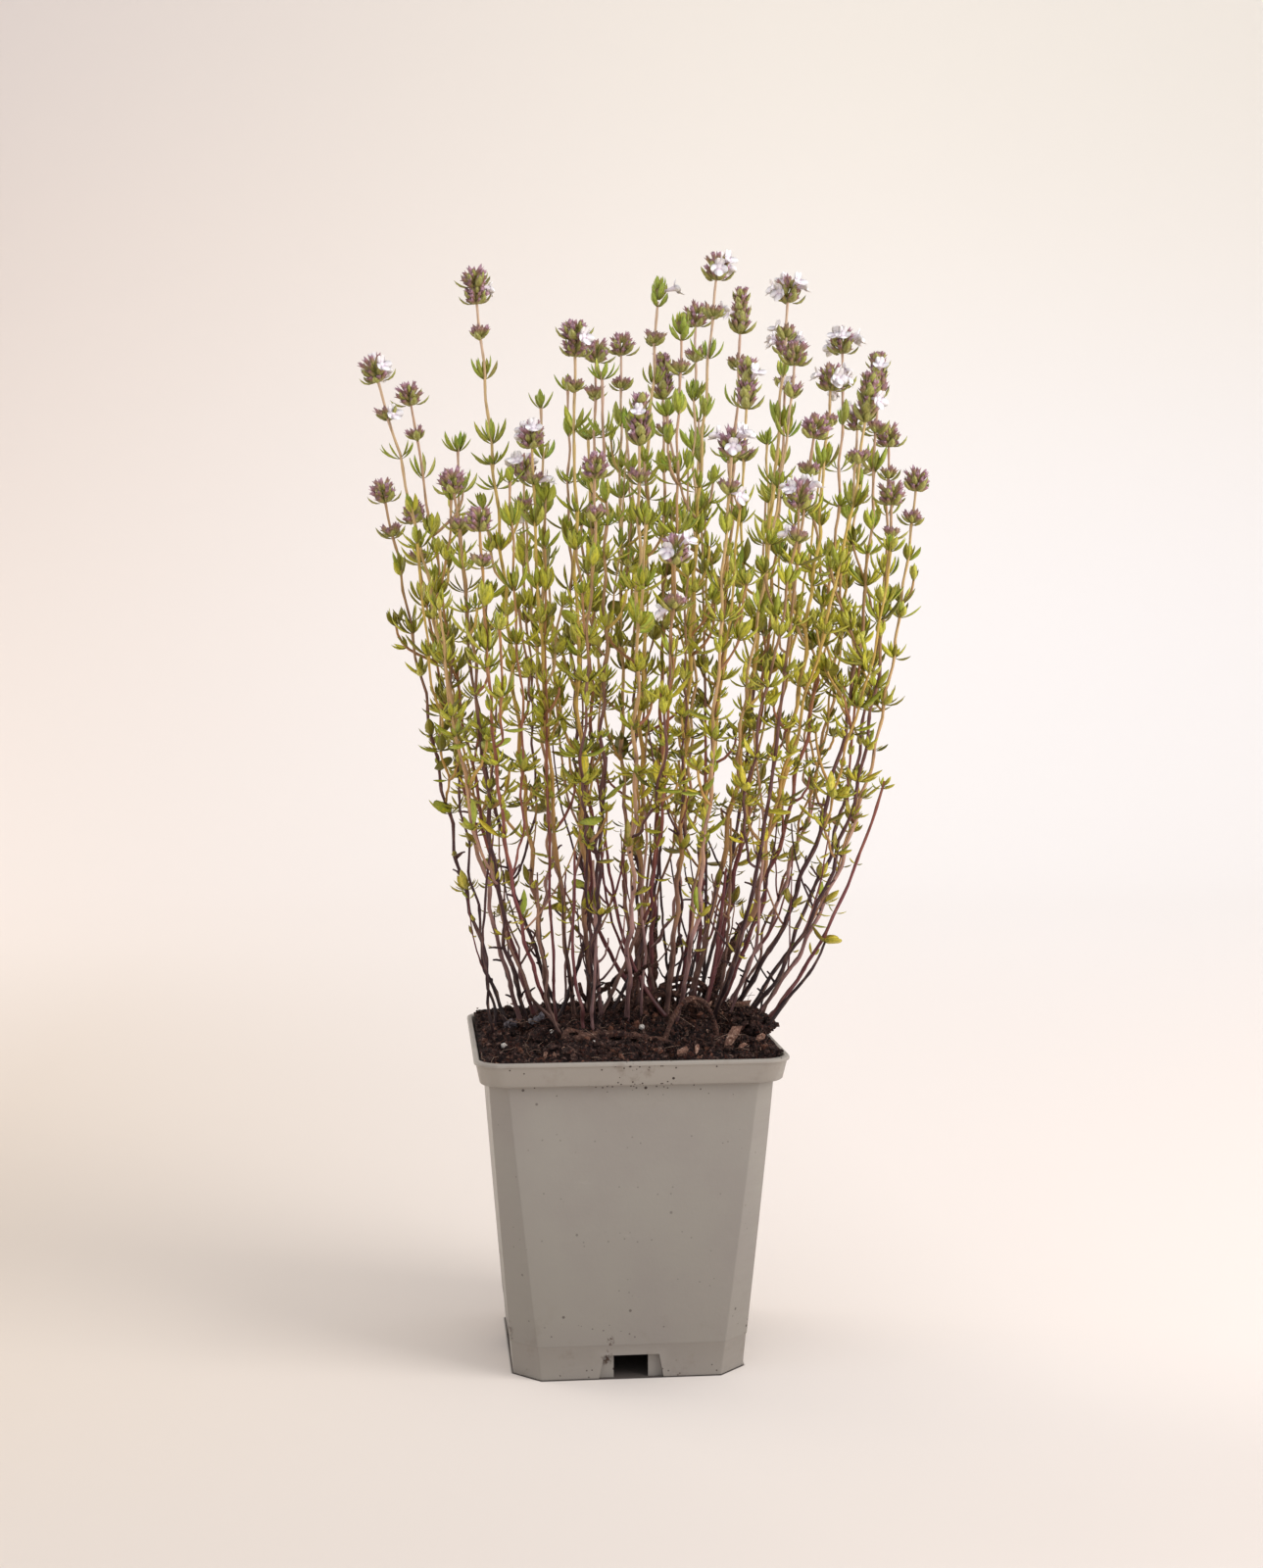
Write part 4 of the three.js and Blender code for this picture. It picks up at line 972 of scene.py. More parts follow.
def pot_material():
    """Grey moulded plastic with faint mottling, scuffs, dark specks of soil and painted shade low down."""
    g = Graph("grey_plastic", 0.48, 0.42)
    place = g.place()
    x, _, z = g.split(place)
    mottle = g.ranged(g.noise(place, 38.0, 3.0), 0.35, 0.65)
    stretched = g.node("VectorMath", {0: place, 1: [14.0, 14.0, 90.0]}, operation="MULTIPLY")
    scuff = g.noise(stretched, 4.0, 5.0, 0.7)
    low, high = g.ranged(z, 0.03, 0.0), g.ranged(z, 0.078, 0.09)
    middle = g.ranged(g.maths("ABSOLUTE", x - (POT_OFFSET + RIM_DIRT_AT) * MM), 0.014, 0.002)
    dusty = low * 0.8 + high * (middle + 0.5)
    gap, chances = g.spots(place, 260.0)
    large = g.maths("GREATER_THAN", chances[0] + dusty * 0.16, 0.93) * g.ranged(gap, 0.13, 0.09)
    gap, chances = g.spots(place, 860.0)
    crowded = high * middle * 0.62 + low * 0.02
    small = g.maths("GREATER_THAN", chances[1] + crowded, 0.962) * g.ranged(gap, 0.27, 0.17)
    layers = [
        (g.ranged(z, 0.085, 0.089, 0.0, 0.6), (160, 152, 142)),
        # Painted light: the skirt below its step is lighter, to undo the shade it takes near the floor.
        (g.ranged(z, 0.0101, 0.0097, 0.0, 0.3), (148, 141, 132)),
        (g.ranged(g.noise(place, 17.0, 2.0), 0.4, 0.7, 0.0, 0.14), (141, 128, 124)),
        (g.ranged(scuff, 0.6, 0.8, 0.0, 0.2), (164, 157, 148)),
        (large * (dusty + 0.45), (54, 40, 34)),
        (small * (high * 0.7 + (low * 0.4 + 0.35)), (56, 40, 34)),
    ]
    ragged = g.ranged(g.noise(place, 700.0, 3.0, 0.7), 0.5, 0.56)
    for at_x, at_z, reach in SMEARS:
        aside = x - (POT_OFFSET + at_x) * MM
        above = (z - at_z * MM) * 0.6
        far = g.maths("SQRT", aside * aside + above * above)
        layers.append((g.ranged(far, reach * MM, reach * MM * 0.3) * ragged, (70, 50, 38)))
    film = g.ranged(g.noise(place, 120.0, 4.0, 0.7), 0.52, 0.75) * dusty
    layers.append((film * 0.45, (104, 88, 76)))
    # Painted shade: the grey is darker towards the bottom of the pot.
    low_grey = g.mix(mottle, (132, 125, 117), (135, 129, 119))
    high_grey = g.mix(mottle, (142, 135, 127), (145, 139, 130))
    grey = g.mix(g.ranged(z, 0.0, 0.08), low_grey, high_grey)
    g.bump(g.noise(place, 900.0, 2.0) + scuff * 0.6, 0.00012, 0.35)
    return g.finish(g.layers(grey, layers), g.ranged(scuff, 0.3, 0.75, 0.4, 0.6))


def earth_material(name):
    """Peat or bark: mixed dark tones with paler grains, rough all over."""
    dark, mid, pale = EARTH_TONES[name]
    g = Graph(name, 0.95, 0.15)
    place = g.place()
    coarse, fine = g.noise(place, 170.0, 5.0, 0.7), g.noise(place, 1100.0, 3.0, 0.7)
    _, (bright, warm, _) = g.spots(place, 1500.0)
    grains = g.ranged(bright, 0.55, 1.0) * g.ranged(fine, 0.42, 0.6)
    layers = [
        (g.ranged(coarse, 0.38, 0.6), mid),
        (grains * (0.6 if name.endswith("crumb") else 0.85), pale),
        (g.ranged(warm, 0.7, 1.0) * 0.35, (112, 62, 46)),
    ]
    g.bump(coarse + fine * 1.5, 0.0014, 1.0)
    return g.finish(g.layers(dark, layers), g.ranged(fine, 0.3, 0.7, 0.85, 1.0))


def calyx_material():
    """Green-based calyces that turn purple-brown towards rosy teeth. The map's u picks the tint."""
    g = Graph("calyx", 0.55, 0.3)
    u, v = g.map()
    cell = g.maths("FLOOR", u / TINT_WIDTH) / (CALYX_TINTS - 1.0)
    stripes = g.noise(g.vector(u * 150.0, v * 9.0), 1.0)
    tone = g.ramp(v + (cell - 0.5) * 0.5, CALYX_TONES)
    g.bump(stripes, 0.0003, 0.6)
    streaked = g.mix(g.ranged(stripes, 0.45, 0.75, 0.0, 0.45), tone, (120, 92, 78))
    return g.finish(streaked, g.ranged(stripes, 0.3, 0.7, 0.45, 0.65))


def petal_material():
    """White petals, lilac towards the throat."""
    g = Graph("petal", 0.6, 0.2)
    u, v = g.map()
    veins = g.noise(g.vector(u * 60.0, v * 6.0), 1.0)
    g.bump(veins, 0.0002, 0.4)
    veined = g.mix(g.ranged(veins, 0.5, 0.75, 0.0, 0.3), g.ramp(v, PETAL_TONES), (236, 220, 230))
    return g.finish(veined, g.ranged(veins, 0.3, 0.7, 0.5, 0.7))


# The room


def build_sheet():
    """A floor that sweeps up into a backdrop, with painted light and shade, darkest right under the pot."""
    turns = np.linspace(0, math.pi / 2, 17)
    bend = [(SHEET_BACK + SHEET_CURVE * math.sin(a), SHEET_CURVE * (1 - math.cos(a))) for a in turns]
    profile = [(-3.0, 0.0), *bend, (SHEET_BACK + SHEET_CURVE, SHEET_TOP)]
    verts = [(x, y, z) for y, z in profile for x in (-SHEET_HALF, SHEET_HALF)]
    faces = [(2 * i, 2 * i + 1, 2 * i + 3, 2 * i + 2) for i in range(len(profile) - 1)]
    mesh = bpy.data.meshes.new("sheet")
    mesh.from_pydata(verts, [], faces)
    mesh.shade_smooth()
    sheet = add_piece("sheet", mesh)
    g = Graph("pale_paper", 0.9, 0.1)
    x, y, z = g.split(g.place())
    # Painted light and shade: the wall is lighter to the right and darker higher up.
    right = g.ranged(x + z * -0.1, -0.75, 0.45)
    wall = g.mix(g.ranged(z, 0.2, 1.0), g.mix(right, *WALL_TONES), g.mix(right, *HIGH_WALL_TONES))
    aside, ahead = g.maths("ABSOLUTE", x - POT_OFFSET * MM), g.maths("ABSOLUTE", y)
    foot = BODY_BOTTOM_HALF
    across = aside + ahead - (foot - BOTTOM_CHAMFER) * MM
    reach = g.maths("MAXIMUM", across, g.maths("MAXIMUM", aside, ahead))
    layers = [
        # Painted shade: the floor darkens towards the camera.
        (g.ranged(y, -0.02, -0.17, 0.0, 0.55), NEAR_SHADE_TONE),
        # Painted contact shadow: near black over the pot's footprint, seen through the front notch.
        (g.ranged(reach, (foot + 0.9) * MM, (foot + 0.1) * MM, 0.0, 0.92), POT_SHADOW_TONE),
        (g.ranged(y, 0.15, 1.25), wall),
    ]
    # The floor's ramp is painted shade, darker to the left.
    mesh.materials.append(g.finish(g.layers(g.ramp((x + 0.26) / 0.38, FLOOR_TONES), layers)))


def area_light(name, place, size, power, tone):
    data = bpy.data.lights.new(name, "AREA")
    data.shape = "RECTANGLE"
    data.size, data.size_y = size
    data.energy = power
    data.color = tone
    lamp = add_piece(name, data)
    lamp.location = place
    lamp.rotation_euler = (Vector(LIGHTS_AIM) - Vector(place)).to_track_quat("-Z", "Y").to_euler()


def build_room():
    build_sheet()
    for name, light in LIGHTS.items():
        area_light(name, *light)
    world = bpy.data.worlds.new("room")
    world.use_nodes = True
    back = world.node_tree.nodes["Background"]
    back.inputs["Color"].default_value = AMBIENT_TONE
    back.inputs["Strength"].default_value = AMBIENT
    scene = bpy.context.scene
    scene.world = world
    scene.view_settings.view_transform = "Standard"
    scene.view_settings.look = "None"
    data = bpy.data.cameras.new("camera")
    data.lens = CAMERA_LENS
    data.sensor_width = CAMERA_SENSOR
    data.clip_start, data.clip_end = 0.01, 20.0
    camera = add_piece("camera", data)
    x, y, z = CAMERA_AT
    camera.location = ((x + POT_OFFSET) * MM, y * MM, z * MM)
    camera.rotation_euler = (math.radians(90 - CAMERA_DIP), 0, math.radians(-CAMERA_TURN))
    scene.camera = camera


# The pot


def turned(x, y, angle):
    c, s = math.cos(angle), math.sin(angle)
    return x * c - y * s, x * s + y * c


def soft_square(half, cut, round_by, z, along=6, arc=4):
    """A ring round a square with cut corners, whose eight edges are rounded by an arc."""
    reach = round_by * math.tan(math.pi / 8)
    ends = ((half, half - cut), (half - cut, half))
    corners = [vec(*turned(x, y, quarter * math.pi / 2)) for quarter in range(4) for x, y in ends]
    ring = []
    for i, corner in enumerate(corners):
        following = corners[(i + 1) % 8]
        before, after = unit(corners[i - 1] - corner), unit(following - corner)
        middle = corner + unit(before + after) * round_by / math.cos(math.pi / 8)
        start = corner + before * reach - middle
        ring += [(*(middle + turned(*start, math.pi / 4 * k / arc)), z) for k in range(arc + 1)]
        if i % 2:
            low, high = corner + after * reach, following - after * reach
            ring += [(*(low + (high - low) * k / (along + 1)), z) for k in range(1, along + 1)]
    return np.array(ring)


def body_ring(z, inset, round_by=ARRIS):
    share = z / BAND_AT
    half = BODY_BOTTOM_HALF + (BODY_TOP_HALF - BODY_BOTTOM_HALF) * share
    cut = BOTTOM_CHAMFER + (TOP_CHAMFER - BOTTOM_CHAMFER) * share
    return soft_square(half - inset, cut - inset * 0.6, round_by, z)


def rim_ring(half, z):
    corner = RIM_CORNER * 0.98
    return soft_square(half, corner / 1.707, corner, z)


def loft(rings):
    """Corners and faces of a skin over rings of equal length, each end closed by a fan."""
    sides = len(rings[0])
    faces = [tuple(face) for face in ring_faces(len(rings), sides)[0]]
    points = [tuple(p) for ring in rings for p in ring]
    for ring, first, low_end in ((rings[0], 0, True), (rings[-1], (len(rings) - 1) * sides, False)):
        middle = len(points)
        points.append(tuple(np.mean(ring, 0)))
        for k in range(sides):
            a, b = first + k, first + (k + 1) % sides
            faces.append((middle, b, a) if low_end else (middle, a, b))
    return points, faces


def solid_object(name, points, faces):
    mesh = bpy.data.meshes.new(name)
    mesh.from_pydata([((x + POT_OFFSET) * MM, y * MM, z * MM) for x, y, z in points], [], faces)
    mesh.update()
    return add_piece(name, mesh)


def trapezoid(bottom, top, low, height):
    return [(-bottom / 2, low), (bottom / 2, low), (top / 2, height), (-top / 2, height)]


def slabs(outline, near, far):
    """Four prisms of an outline in x and z, from y = near to y = far, one at each side of the pot."""
    made = []
    for quarter in range(4):
        rings = [[(*turned(x, y, quarter * math.pi / 2), z) for x, z in outline] for y in (far, near)]
        made.append(loft(np.array(rings)))
    return made


def cut_by(target, name, parts, operation="DIFFERENCE"):
    """Cuts an object by some lofts, or joins them to it."""
    points, faces = [], []
    for some, sides in parts:
        first = len(points)
        points += some
        faces += [tuple(first + k for k in side) for side in sides]
    other = solid_object(name, points, faces)
    boolean = target.modifiers.new("cut", "BOOLEAN")
    boolean.operation = operation
    boolean.solver = "EXACT"
    boolean.use_self = True
    boolean.object = other
    bpy.context.view_layer.update()
    made = bpy.data.meshes.new_from_object(target.evaluated_get(bpy.context.evaluated_depsgraph_get()))
    target.modifiers.clear()
    target.data = made
    bpy.data.objects.remove(other)


def build_pot():
    lip = POT_HEIGHT - LIP_HEIGHT
    under = SKIRT_HEIGHT - WALL
    shell = loft([
        body_ring(under, WALL),
        body_ring(0.0, WALL),
        body_ring(0.0, 0.25),
        body_ring(0.25, 0.0),
        body_ring(SKIRT_HEIGHT - 0.05, 0.0),
        body_ring(SKIRT_HEIGHT + 0.25, -SKIRT_STEP),
        body_ring(SKIRT_HEIGHT + 0.6, -SKIRT_STEP),
        body_ring(45.0, -SKIRT_STEP - 0.12),
        body_ring(70.0, -SKIRT_STEP - 0.1),
        body_ring(BAND_AT - 1.2, -SKIRT_STEP, 1.2),
        body_ring(BAND_AT - 0.35, -SKIRT_STEP - 0.15, 1.6),
        rim_ring(BAND_BOTTOM_HALF - 0.35, BAND_AT),
        rim_ring(BAND_BOTTOM_HALF, BAND_AT + 0.35),
        rim_ring(RIM_HALF - 0.62, lip - 0.15),
        rim_ring(RIM_HALF - 0.5, lip),
        rim_ring(RIM_HALF - 0.08, lip + 0.2),
        rim_ring(RIM_HALF, lip + 0.5),
        rim_ring(RIM_HALF - 0.05, POT_HEIGHT - 0.3),
        rim_ring(RIM_HALF - 0.35, POT_HEIGHT),
        rim_ring(SOIL_HALF + 0.3, POT_HEIGHT),
        rim_ring(SOIL_HALF, POT_HEIGHT - 0.3),
        rim_ring(BAND_BOTTOM_HALF - WALL, BAND_AT + WALL),
        body_ring(BAND_AT - WALL, WALL),
        body_ring(SKIRT_HEIGHT + 0.4, WALL),
        body_ring(SKIRT_HEIGHT, WALL + 0.4),
    ])
    pot = solid_object("pot_shell", *shell)
    front = -BODY_BOTTOM_HALF
    recess_back = front + NOTCH_DEPTH
    backing = trapezoid(FLARE_BOTTOM + 2 * WALL, FLARE_TOP + 2 * WALL, 0.0, under + 0.2)
    cut_by(pot, "backing", slabs(backing, front + WALL / 2, recess_back + WALL), "UNION")
    recess = trapezoid(FLARE_BOTTOM, FLARE_TOP, -1.0, NOTCH_HEIGHT)
    cut_by(pot, "recess", slabs(recess, front - 3, recess_back))
    opening = trapezoid(NOTCH_WIDTH, NOTCH_WIDTH, -1.0, NOTCH_HEIGHT)
    cut_by(pot, "opening", slabs(opening, front - 4, front + 6))
    turns = np.arange(DRAIN_SIDES) / DRAIN_SIDES * 2 * math.pi
    drains = []
    for way in ((1, 1), (1, -1), (-1, 1), (-1, -1)):
        ring = DRAIN_REACH * vec(*way) + DRAIN_RADIUS * np.stack([np.cos(turns), np.sin(turns)], 1)
        drains.append(loft([np.insert(ring, 2, z, 1) for z in (under - 1, SKIRT_HEIGHT + 1)]))
    cut_by(pot, "drain", drains)
    soften = pot.modifiers.new("soft_edges", "BEVEL")
    soften.width, soften.segments = BEVEL * MM, 2
    soften.limit_method, soften.angle_limit = "ANGLE", math.radians(BEVEL_ANGLE)
    soften.use_clamp_overlap = True
    pot.data.materials.append(pot_material())
    pot.data.shade_smooth()
    pot.data.set_sharp_from_angle(angle=math.radians(SHARP_ANGLE))
    part_of_plant(pot, "pot_plastic", "pot")


# The soil and what lies on it


def value_noise(x, y, size, seed):
    """Smooth noise from -1 to 1 over a plane."""
    x, y = x / size, y / size
    ix, iy = np.floor(x), np.floor(y)
    fx, fy = x - ix, y - iy
    fx, fy = fx * fx * (3 - 2 * fx), fy * fy * (3 - 2 * fy)

    def corner(a, b):
        n = np.sin((ix + a) * 127.1 + (iy + b) * 311.7 + seed * 74.7) * 43758.5453
        return n - np.floor(n)

    low = corner(0, 0) * (1 - fx) + corner(1, 0) * fx
    high = corner(0, 1) * (1 - fx) + corner(1, 1) * fx
    return 2 * (low * (1 - fy) + high * fy) - 1


def peat_height(x, y):
    """The soil's surface with its clods and crumbs, heaped up towards the rim, the back and the right."""
    clods = 1.5 * value_noise(x, y, 7.5, 1) + 1.5 * value_noise(x, y, 3.6, 2)
    crumbs = 1.1 * value_noise(x, y, 1.7, 3) + 0.5 * value_noise(x, y, 0.9, 4)
    outermost = np.maximum(np.abs(x), np.abs(y))
    rim = np.clip((SOIL_HALF - outermost) / 3.0, 0.12, 1)
    outwards = np.clip((outermost - 32) / 9, 0, 1)
    heaped = 0.8 + 1.6 * np.clip((y - 8) / 26, 0, 1) + 1.0 * np.clip((x - 24) / 14, 0, 1)
    return soil_height(x, y) + (clods + crumbs) * rim + outwards * heaped


def surface_point(x, y, up=0.0):
    return vec(x, y, float(peat_height(float(x), float(y))) + up)


def rounded(u, v, half, corner):
    """Maps a point of the square from -1 to 1 on to a square with round corners."""
    reach = np.maximum(np.abs(u), np.abs(v)) + 1e-9
    sideways = np.abs(u) >= np.abs(v)
    straight = 1 - corner / half
    a = np.where(sideways, v, u) / reach
    turn = np.clip((np.abs(a) - straight) / (1 - straight), 0, 1) * math.pi / 4
    bent = np.abs(a) > straight
    far = np.where(bent, straight + (1 - straight) * np.cos(turn), 1.0)
    aside = np.sign(a) * np.where(bent, straight + (1 - straight) * np.sin(turn), np.abs(a))
    x = np.where(sideways, np.sign(u) * far, aside)
    y = np.where(sideways, aside, np.sign(v) * far)
    return x * reach * half, y * reach * half


def build_soil():
    """A rough surface on a grid, with smooth sides that narrow down to the pot's floor."""
    lines = np.linspace(-1, 1, SOIL_GRID)
    u, v = np.meshgrid(lines, lines, indexing="xy")
    x, y = rounded(u, v, SOIL_HALF - GAP - 0.1, RIM_CORNER)
    points = np.stack([x, y, peat_height(x, y)], -1).reshape(-1, 3)
    at = np.arange(SOIL_GRID * SOIL_GRID).reshape(SOIL_GRID, SOIL_GRID)
    quads = np.stack([at[:-1, :-1], at[:-1, 1:], at[1:, 1:], at[1:, :-1]], -1).reshape(-1, 4)
    around = np.concatenate([at[0, :-1], at[:-1, -1], at[-1, :0:-1], at[:0:-1, 0]])
    floor = SKIRT_HEIGHT + GAP
    sides = [(BAND_AT + WALL + 1.3, 0.0, RIM_CORNER), (BAND_AT - 0.6, 2.9, 4.0), (floor, 10.4, 5.0)]
    below = []
    for z, inset, corner in sides:
        side = rounded(u.ravel()[around], v.ravel()[around], BAND_BOTTOM_HALF - WALL - 0.6 - inset, corner)
        below.append(np.column_stack([*side, np.full(len(around), z)]))
    total, ring = len(points), len(around)
    faces = [tuple(q) for q in quads]
    rings = [around] + [np.arange(ring) + total + i * ring for i in range(3)]
    for upper, lower in zip(rings[:-1], rings[1:]):
        faces += [(upper[k - ring + 1], upper[k], lower[k], lower[k - ring + 1]) for k in range(ring)]
    middle = total + 3 * ring
    faces += [(rings[-1][k - ring + 1], rings[-1][k], middle) for k in range(ring)]
    points = [tuple(p) for p in np.concatenate([points, *below, [[0, 0, floor]]])]
    soil = solid_object("peat", points, faces)
    soil.data.shade_smooth()
    soil.data.materials.append(EARTH["peat"])
    part_of_plant(soil, "soil", "soil")


def ball():
    """The corners and faces of a ball of twenty faces."""
    g = (1 + 5**0.5) / 2
    corners = [(-1, g, 0), (1, g, 0), (-1, -g, 0), (1, -g, 0), (0, -1, g), (0, 1, g)]
    corners += [(0, -1, -g), (0, 1, -g), (g, 0, -1), (g, 0, 1), (-g, 0, -1), (-g, 0, 1)]
    faces = [(0, 11, 5), (0, 5, 1), (0, 1, 7), (0, 7, 10), (0, 10, 11), (1, 5, 9), (5, 11, 4)]
    faces += [(11, 10, 2), (10, 7, 6), (7, 1, 8), (3, 9, 4), (3, 4, 2), (3, 2, 6), (3, 6, 8)]
    faces += [(3, 8, 9), (4, 9, 5), (2, 4, 11), (6, 2, 10), (8, 6, 7), (9, 8, 1)]
    return np.array(corners, float) / math.hypot(1, g), np.array(faces)


BALL_CORNERS, BALL_FACES = ball()


def uneven_ball(draw, rough):
    return BALL_CORNERS * (1 + rough * (vec(*[draw() for _ in BALL_CORNERS]) * 2 - 1))[:, None]


def add_ball(skin, corners):
    skin.add(corners, BALL_FACES)
    skin.close()


def lump(skin, place, sizes, draw, rough):
    """An uneven grain of three sizes, turned any way."""
    turn = Matrix.Rotation(draw(*TURN), 3, Vector(jitter(draw)).normalized())
    add_ball(skin, uneven_ball(draw, rough) * sizes @ np.array(turn).T + place)


def flake(skin, low, high, wide, draw):
    """A thin curled piece that stands between two points, its broad side to the front."""
    low, high = vec(*low), vec(*high)
    along = (high - low) / 2
    aside = unit(cross(along, (0.25, -1.0, 0.2)))
    through = unit(cross(along, aside))
    shape = uneven_ball(draw, 0.5)
    curl = through * (shape[:, 1:2] ** 2) * wide * 0.3
    corners = shape[:, :1] * along + shape[:, 1:2] * aside * wide / 2 + shape[:, 2:] * through * 0.3 + curl
    add_ball(skin, corners + (low + high) / 2)


def on_soil(draw, share=1.0):
    edge = (SOIL_HALF - 2.5) * share
    return surface_point(draw(-edge, edge), draw(-edge, edge))


def on_root_ball(draw):
    turn, far = draw(*TURN), ROOT_BALL_REACH * math.sqrt(draw())
    x = np.clip(ROOT_BALL[0] + far * math.cos(turn), -42, 42.2)
    return surface_point(x, np.clip(ROOT_BALL[1] + far * math.sin(turn), -42, 42))


def strand(skin, start, heading, length, radius, draw, rise, wander, steps=6, sides=4):
    """A thin wandering fibre that leaves a point along a heading."""
    points, way = [start], unit(heading)
    for _ in range(steps):
        way = unit(way + jitter(draw) * wander + UP * rise)
        step = points[-1] + way * length / steps
        step[:2] = np.clip(step[:2], -FIBRE_LIMIT, FIBRE_LIMIT)
        points.append(step)
    tube(skin, points, [radius * (1 - 0.55 * i / steps) for i in range(steps + 1)], sides)


def lay(skin, name, slot, tone, *nodes, smooth=True):
    """Makes a piece of what lies on the soil, in one earthy tone."""
    part_of_plant(skin.make(name, [EARTH[tone]], smooth, mapped=False), slot, *nodes)


def scatter_crumbs(draw):
    """Loose crumbs, a clump of them over the rim, and clods."""
    crumbs, red_crumbs = Skin(), Skin()
    for i in range(CRUMBS):
        place = on_root_ball(draw) + UP * draw(0, 1.4) if i % 9 == 0 else on_soil(draw, 1.03)
        size = draw(0.2, 0.55) if i % 5 else draw(0.6, 1.5)
        sizes = size * vec(1, draw(0.6, 0.9), draw(0.5, 0.9))
        lump(red_crumbs if i % 7 == 0 else crumbs, place + UP * size * 0.2, sizes, draw, 0.4)
    for _ in range(CLUMP_CRUMBS):
        around, up = draw(*TURN), draw(-0.2, 1.0)
        far = math.sqrt(max(0.0, 1 - up * up)) * draw(0.55, 1.0)
        place = vec(*CLUMP) + vec(*CLUMP_SIZE) * [far, far, up] * level_way(around, 1.0)
        if place[0] > OVER_RIM[0]:
            place[2] = max(place[2], OVER_RIM[1])
        lump(crumbs, place, draw(0.5, 1.5) * vec(1, 0.8, 0.7), draw, 0.5)
    for _ in range(CLODS):
        size = draw(1.1, 2.3)
        sizes = size * vec(1, draw(0.6, 0.9), draw(0.4, 0.8))
        lump(crumbs, on_soil(draw) + UP * size * 0.15, sizes, draw, 0.5)
    lay(crumbs, "crumbs", "soil", "peat_crumb", smooth=False)
    lay(red_crumbs, "red_crumbs", "soil", "red_crumb", smooth=False)


def scatter_soil():
    """Crumbs, fibres, pale grains, chips of bark and dead scraps on the soil."""
    draw = draws(LITTER_SEED)
    scatter_crumbs(draw)
    dark, pale = Skin(), Skin()
    for i in range(FIBRES):
        place = on_root_ball(draw) if i % 3 == 0 else on_soil(draw)
        heading = level_way(draw(*TURN), draw(-0.1, 0.4))
        length, radius = draw(3, 13), draw(0.06, 0.15)
        strand(pale if i % 4 == 0 else dark, place + UP * 0.3, heading, length, radius, draw, -0.06, 0.9)
    lay(dark, "fibres_dark", "wood", "dark_fibre")
    lay(pale, "fibres_pale", "wood", "pale_fibre")
    grains, stones, chips = Skin(), Skin(), Skin()
    for x, y, size in PALE_SPOTS:
        lump(grains, surface_point(x, y, size), size * vec(1, 1, 0.9), draw, 0.12)
    lay(grains, "pale_grains", "soil", "pale_grain")
    for x, y, size in GREY_SPOTS:
        for _ in range(GREY_GRAINS):
            aside, ahead = draw(-1, 1) * size, draw(-1, 1) * size * 0.6
            place = surface_point(x + aside, y + ahead, draw(0.2, 1.1) * size)
            lump(stones, place, np.full(3, size * draw(0.3, 0.5)), draw, 0.4)
    lay(stones, "grey_lumps", "soil", "grey_lump")
    for x, y, size in CHIP_SPOTS:
        lump(chips, surface_point(x, y, 1.4), vec(size * 1.25, size * draw(0.4, 0.6), 0.6), draw, 0.45)
    for low, high, wide in FLAKES:
        flake(chips, low, high, wide, draw)
    for _ in range(LOOSE_CHIPS):
        size = draw(0.7, 1.8)
        sizes = vec(size, size * draw(0.3, 0.6), 0.3)
        lump(chips, on_soil(draw) + UP * draw(0.2, 0.8), sizes, draw, 0.4)
    lay(chips, "bark_chips", "wood", "bark_chip", smooth=False)


def build_roots():
    """The old woody crown: arched roots and stubs in the middle, and long roots along the soil."""
    draw = draws(ROOT_SEED)
    skin, runner = Skin(), Skin()
    for points, first, last in OLD_ROOTS:
        line = Curve(*points)
        steps = np.linspace(0, 1, max(8, int(line.length() / 1.3)))
        rough = vec(*[draw(0.84, 1.2) for _ in steps])
        bends = vec(*[jitter(draw) for _ in steps]) * 0.7
        tube(skin, line.at(steps) + bends, (first + (last - first) * steps) * rough, 8)
    for i in range(STUBS):
        turn, far = draw(*TURN), draw(2, 17)
        start = surface_point(far * math.cos(turn) + 8, far * math.sin(turn) * 0.7 + 16, -SHALLOW)
        heading = level_way(turn + 1.6, draw(0.4, 1.5)) * [0.6, 0.6, 1]
        length, rise = (draw(4, 12), 0.1) if i % 3 else (draw(12, 22), -0.12)
        strand(skin, start, heading, length, draw(0.5, 1.3), draw, rise, 0.55, 9, 7)
    lay(skin, "old_roots", "wood", "old_wood")
    steps = np.linspace(0, 1, 26)
    radii = 0.8 + 0.12 * np.sin(steps * 31) + 0.08 * np.sin(steps * 67)
    tube(runner, Curve(*RUNNER).at(steps), radii, 8)
    lay(runner, "arched_root", "wood", "old_wood", "runner")


# Leaves on their nodes


def put_leaf(leaves, draw, root, ways, length, width, bend=0.1, fold=0.3, broad=0.0, column=None):
    """Adds a leaf. Unless its column is given, it has one of the plant's hues, or is old or in the shade."""
    if column is None:
        old = OLD_CHANCES[0] if root[2] < OLD_BELOW else OLD_CHANCES[1]
        back = np.clip((root[1] - SHADE_BACK) / SHADE_DEPTH, 0, 1)
        deep = float(back * np.clip((SHADE_TOP - root[2]) / SHADE_HEIGHT, 0, 1))
        column = int(draw(*leaves.hues))
        luck = draw()
        if luck < old:
            column = OLD_COLUMN
        elif luck > 0.92 - 0.62 * deep and root[2] < 252:
            column = SHADE_COLUMN
    under = int(draw(*UNDER_COLUMNS))
    if column in (BRACT_COLUMN, SHADE_COLUMN):
        under = column
    row = int(np.clip((root[2] - ROWS_FROM) / ROWS_SPAN * ROWS + draw(-0.9, 0.9), 0, ROWS - 1))
    leaves.add(root, ways, length, width, bend, fold, broad, column, under, row)


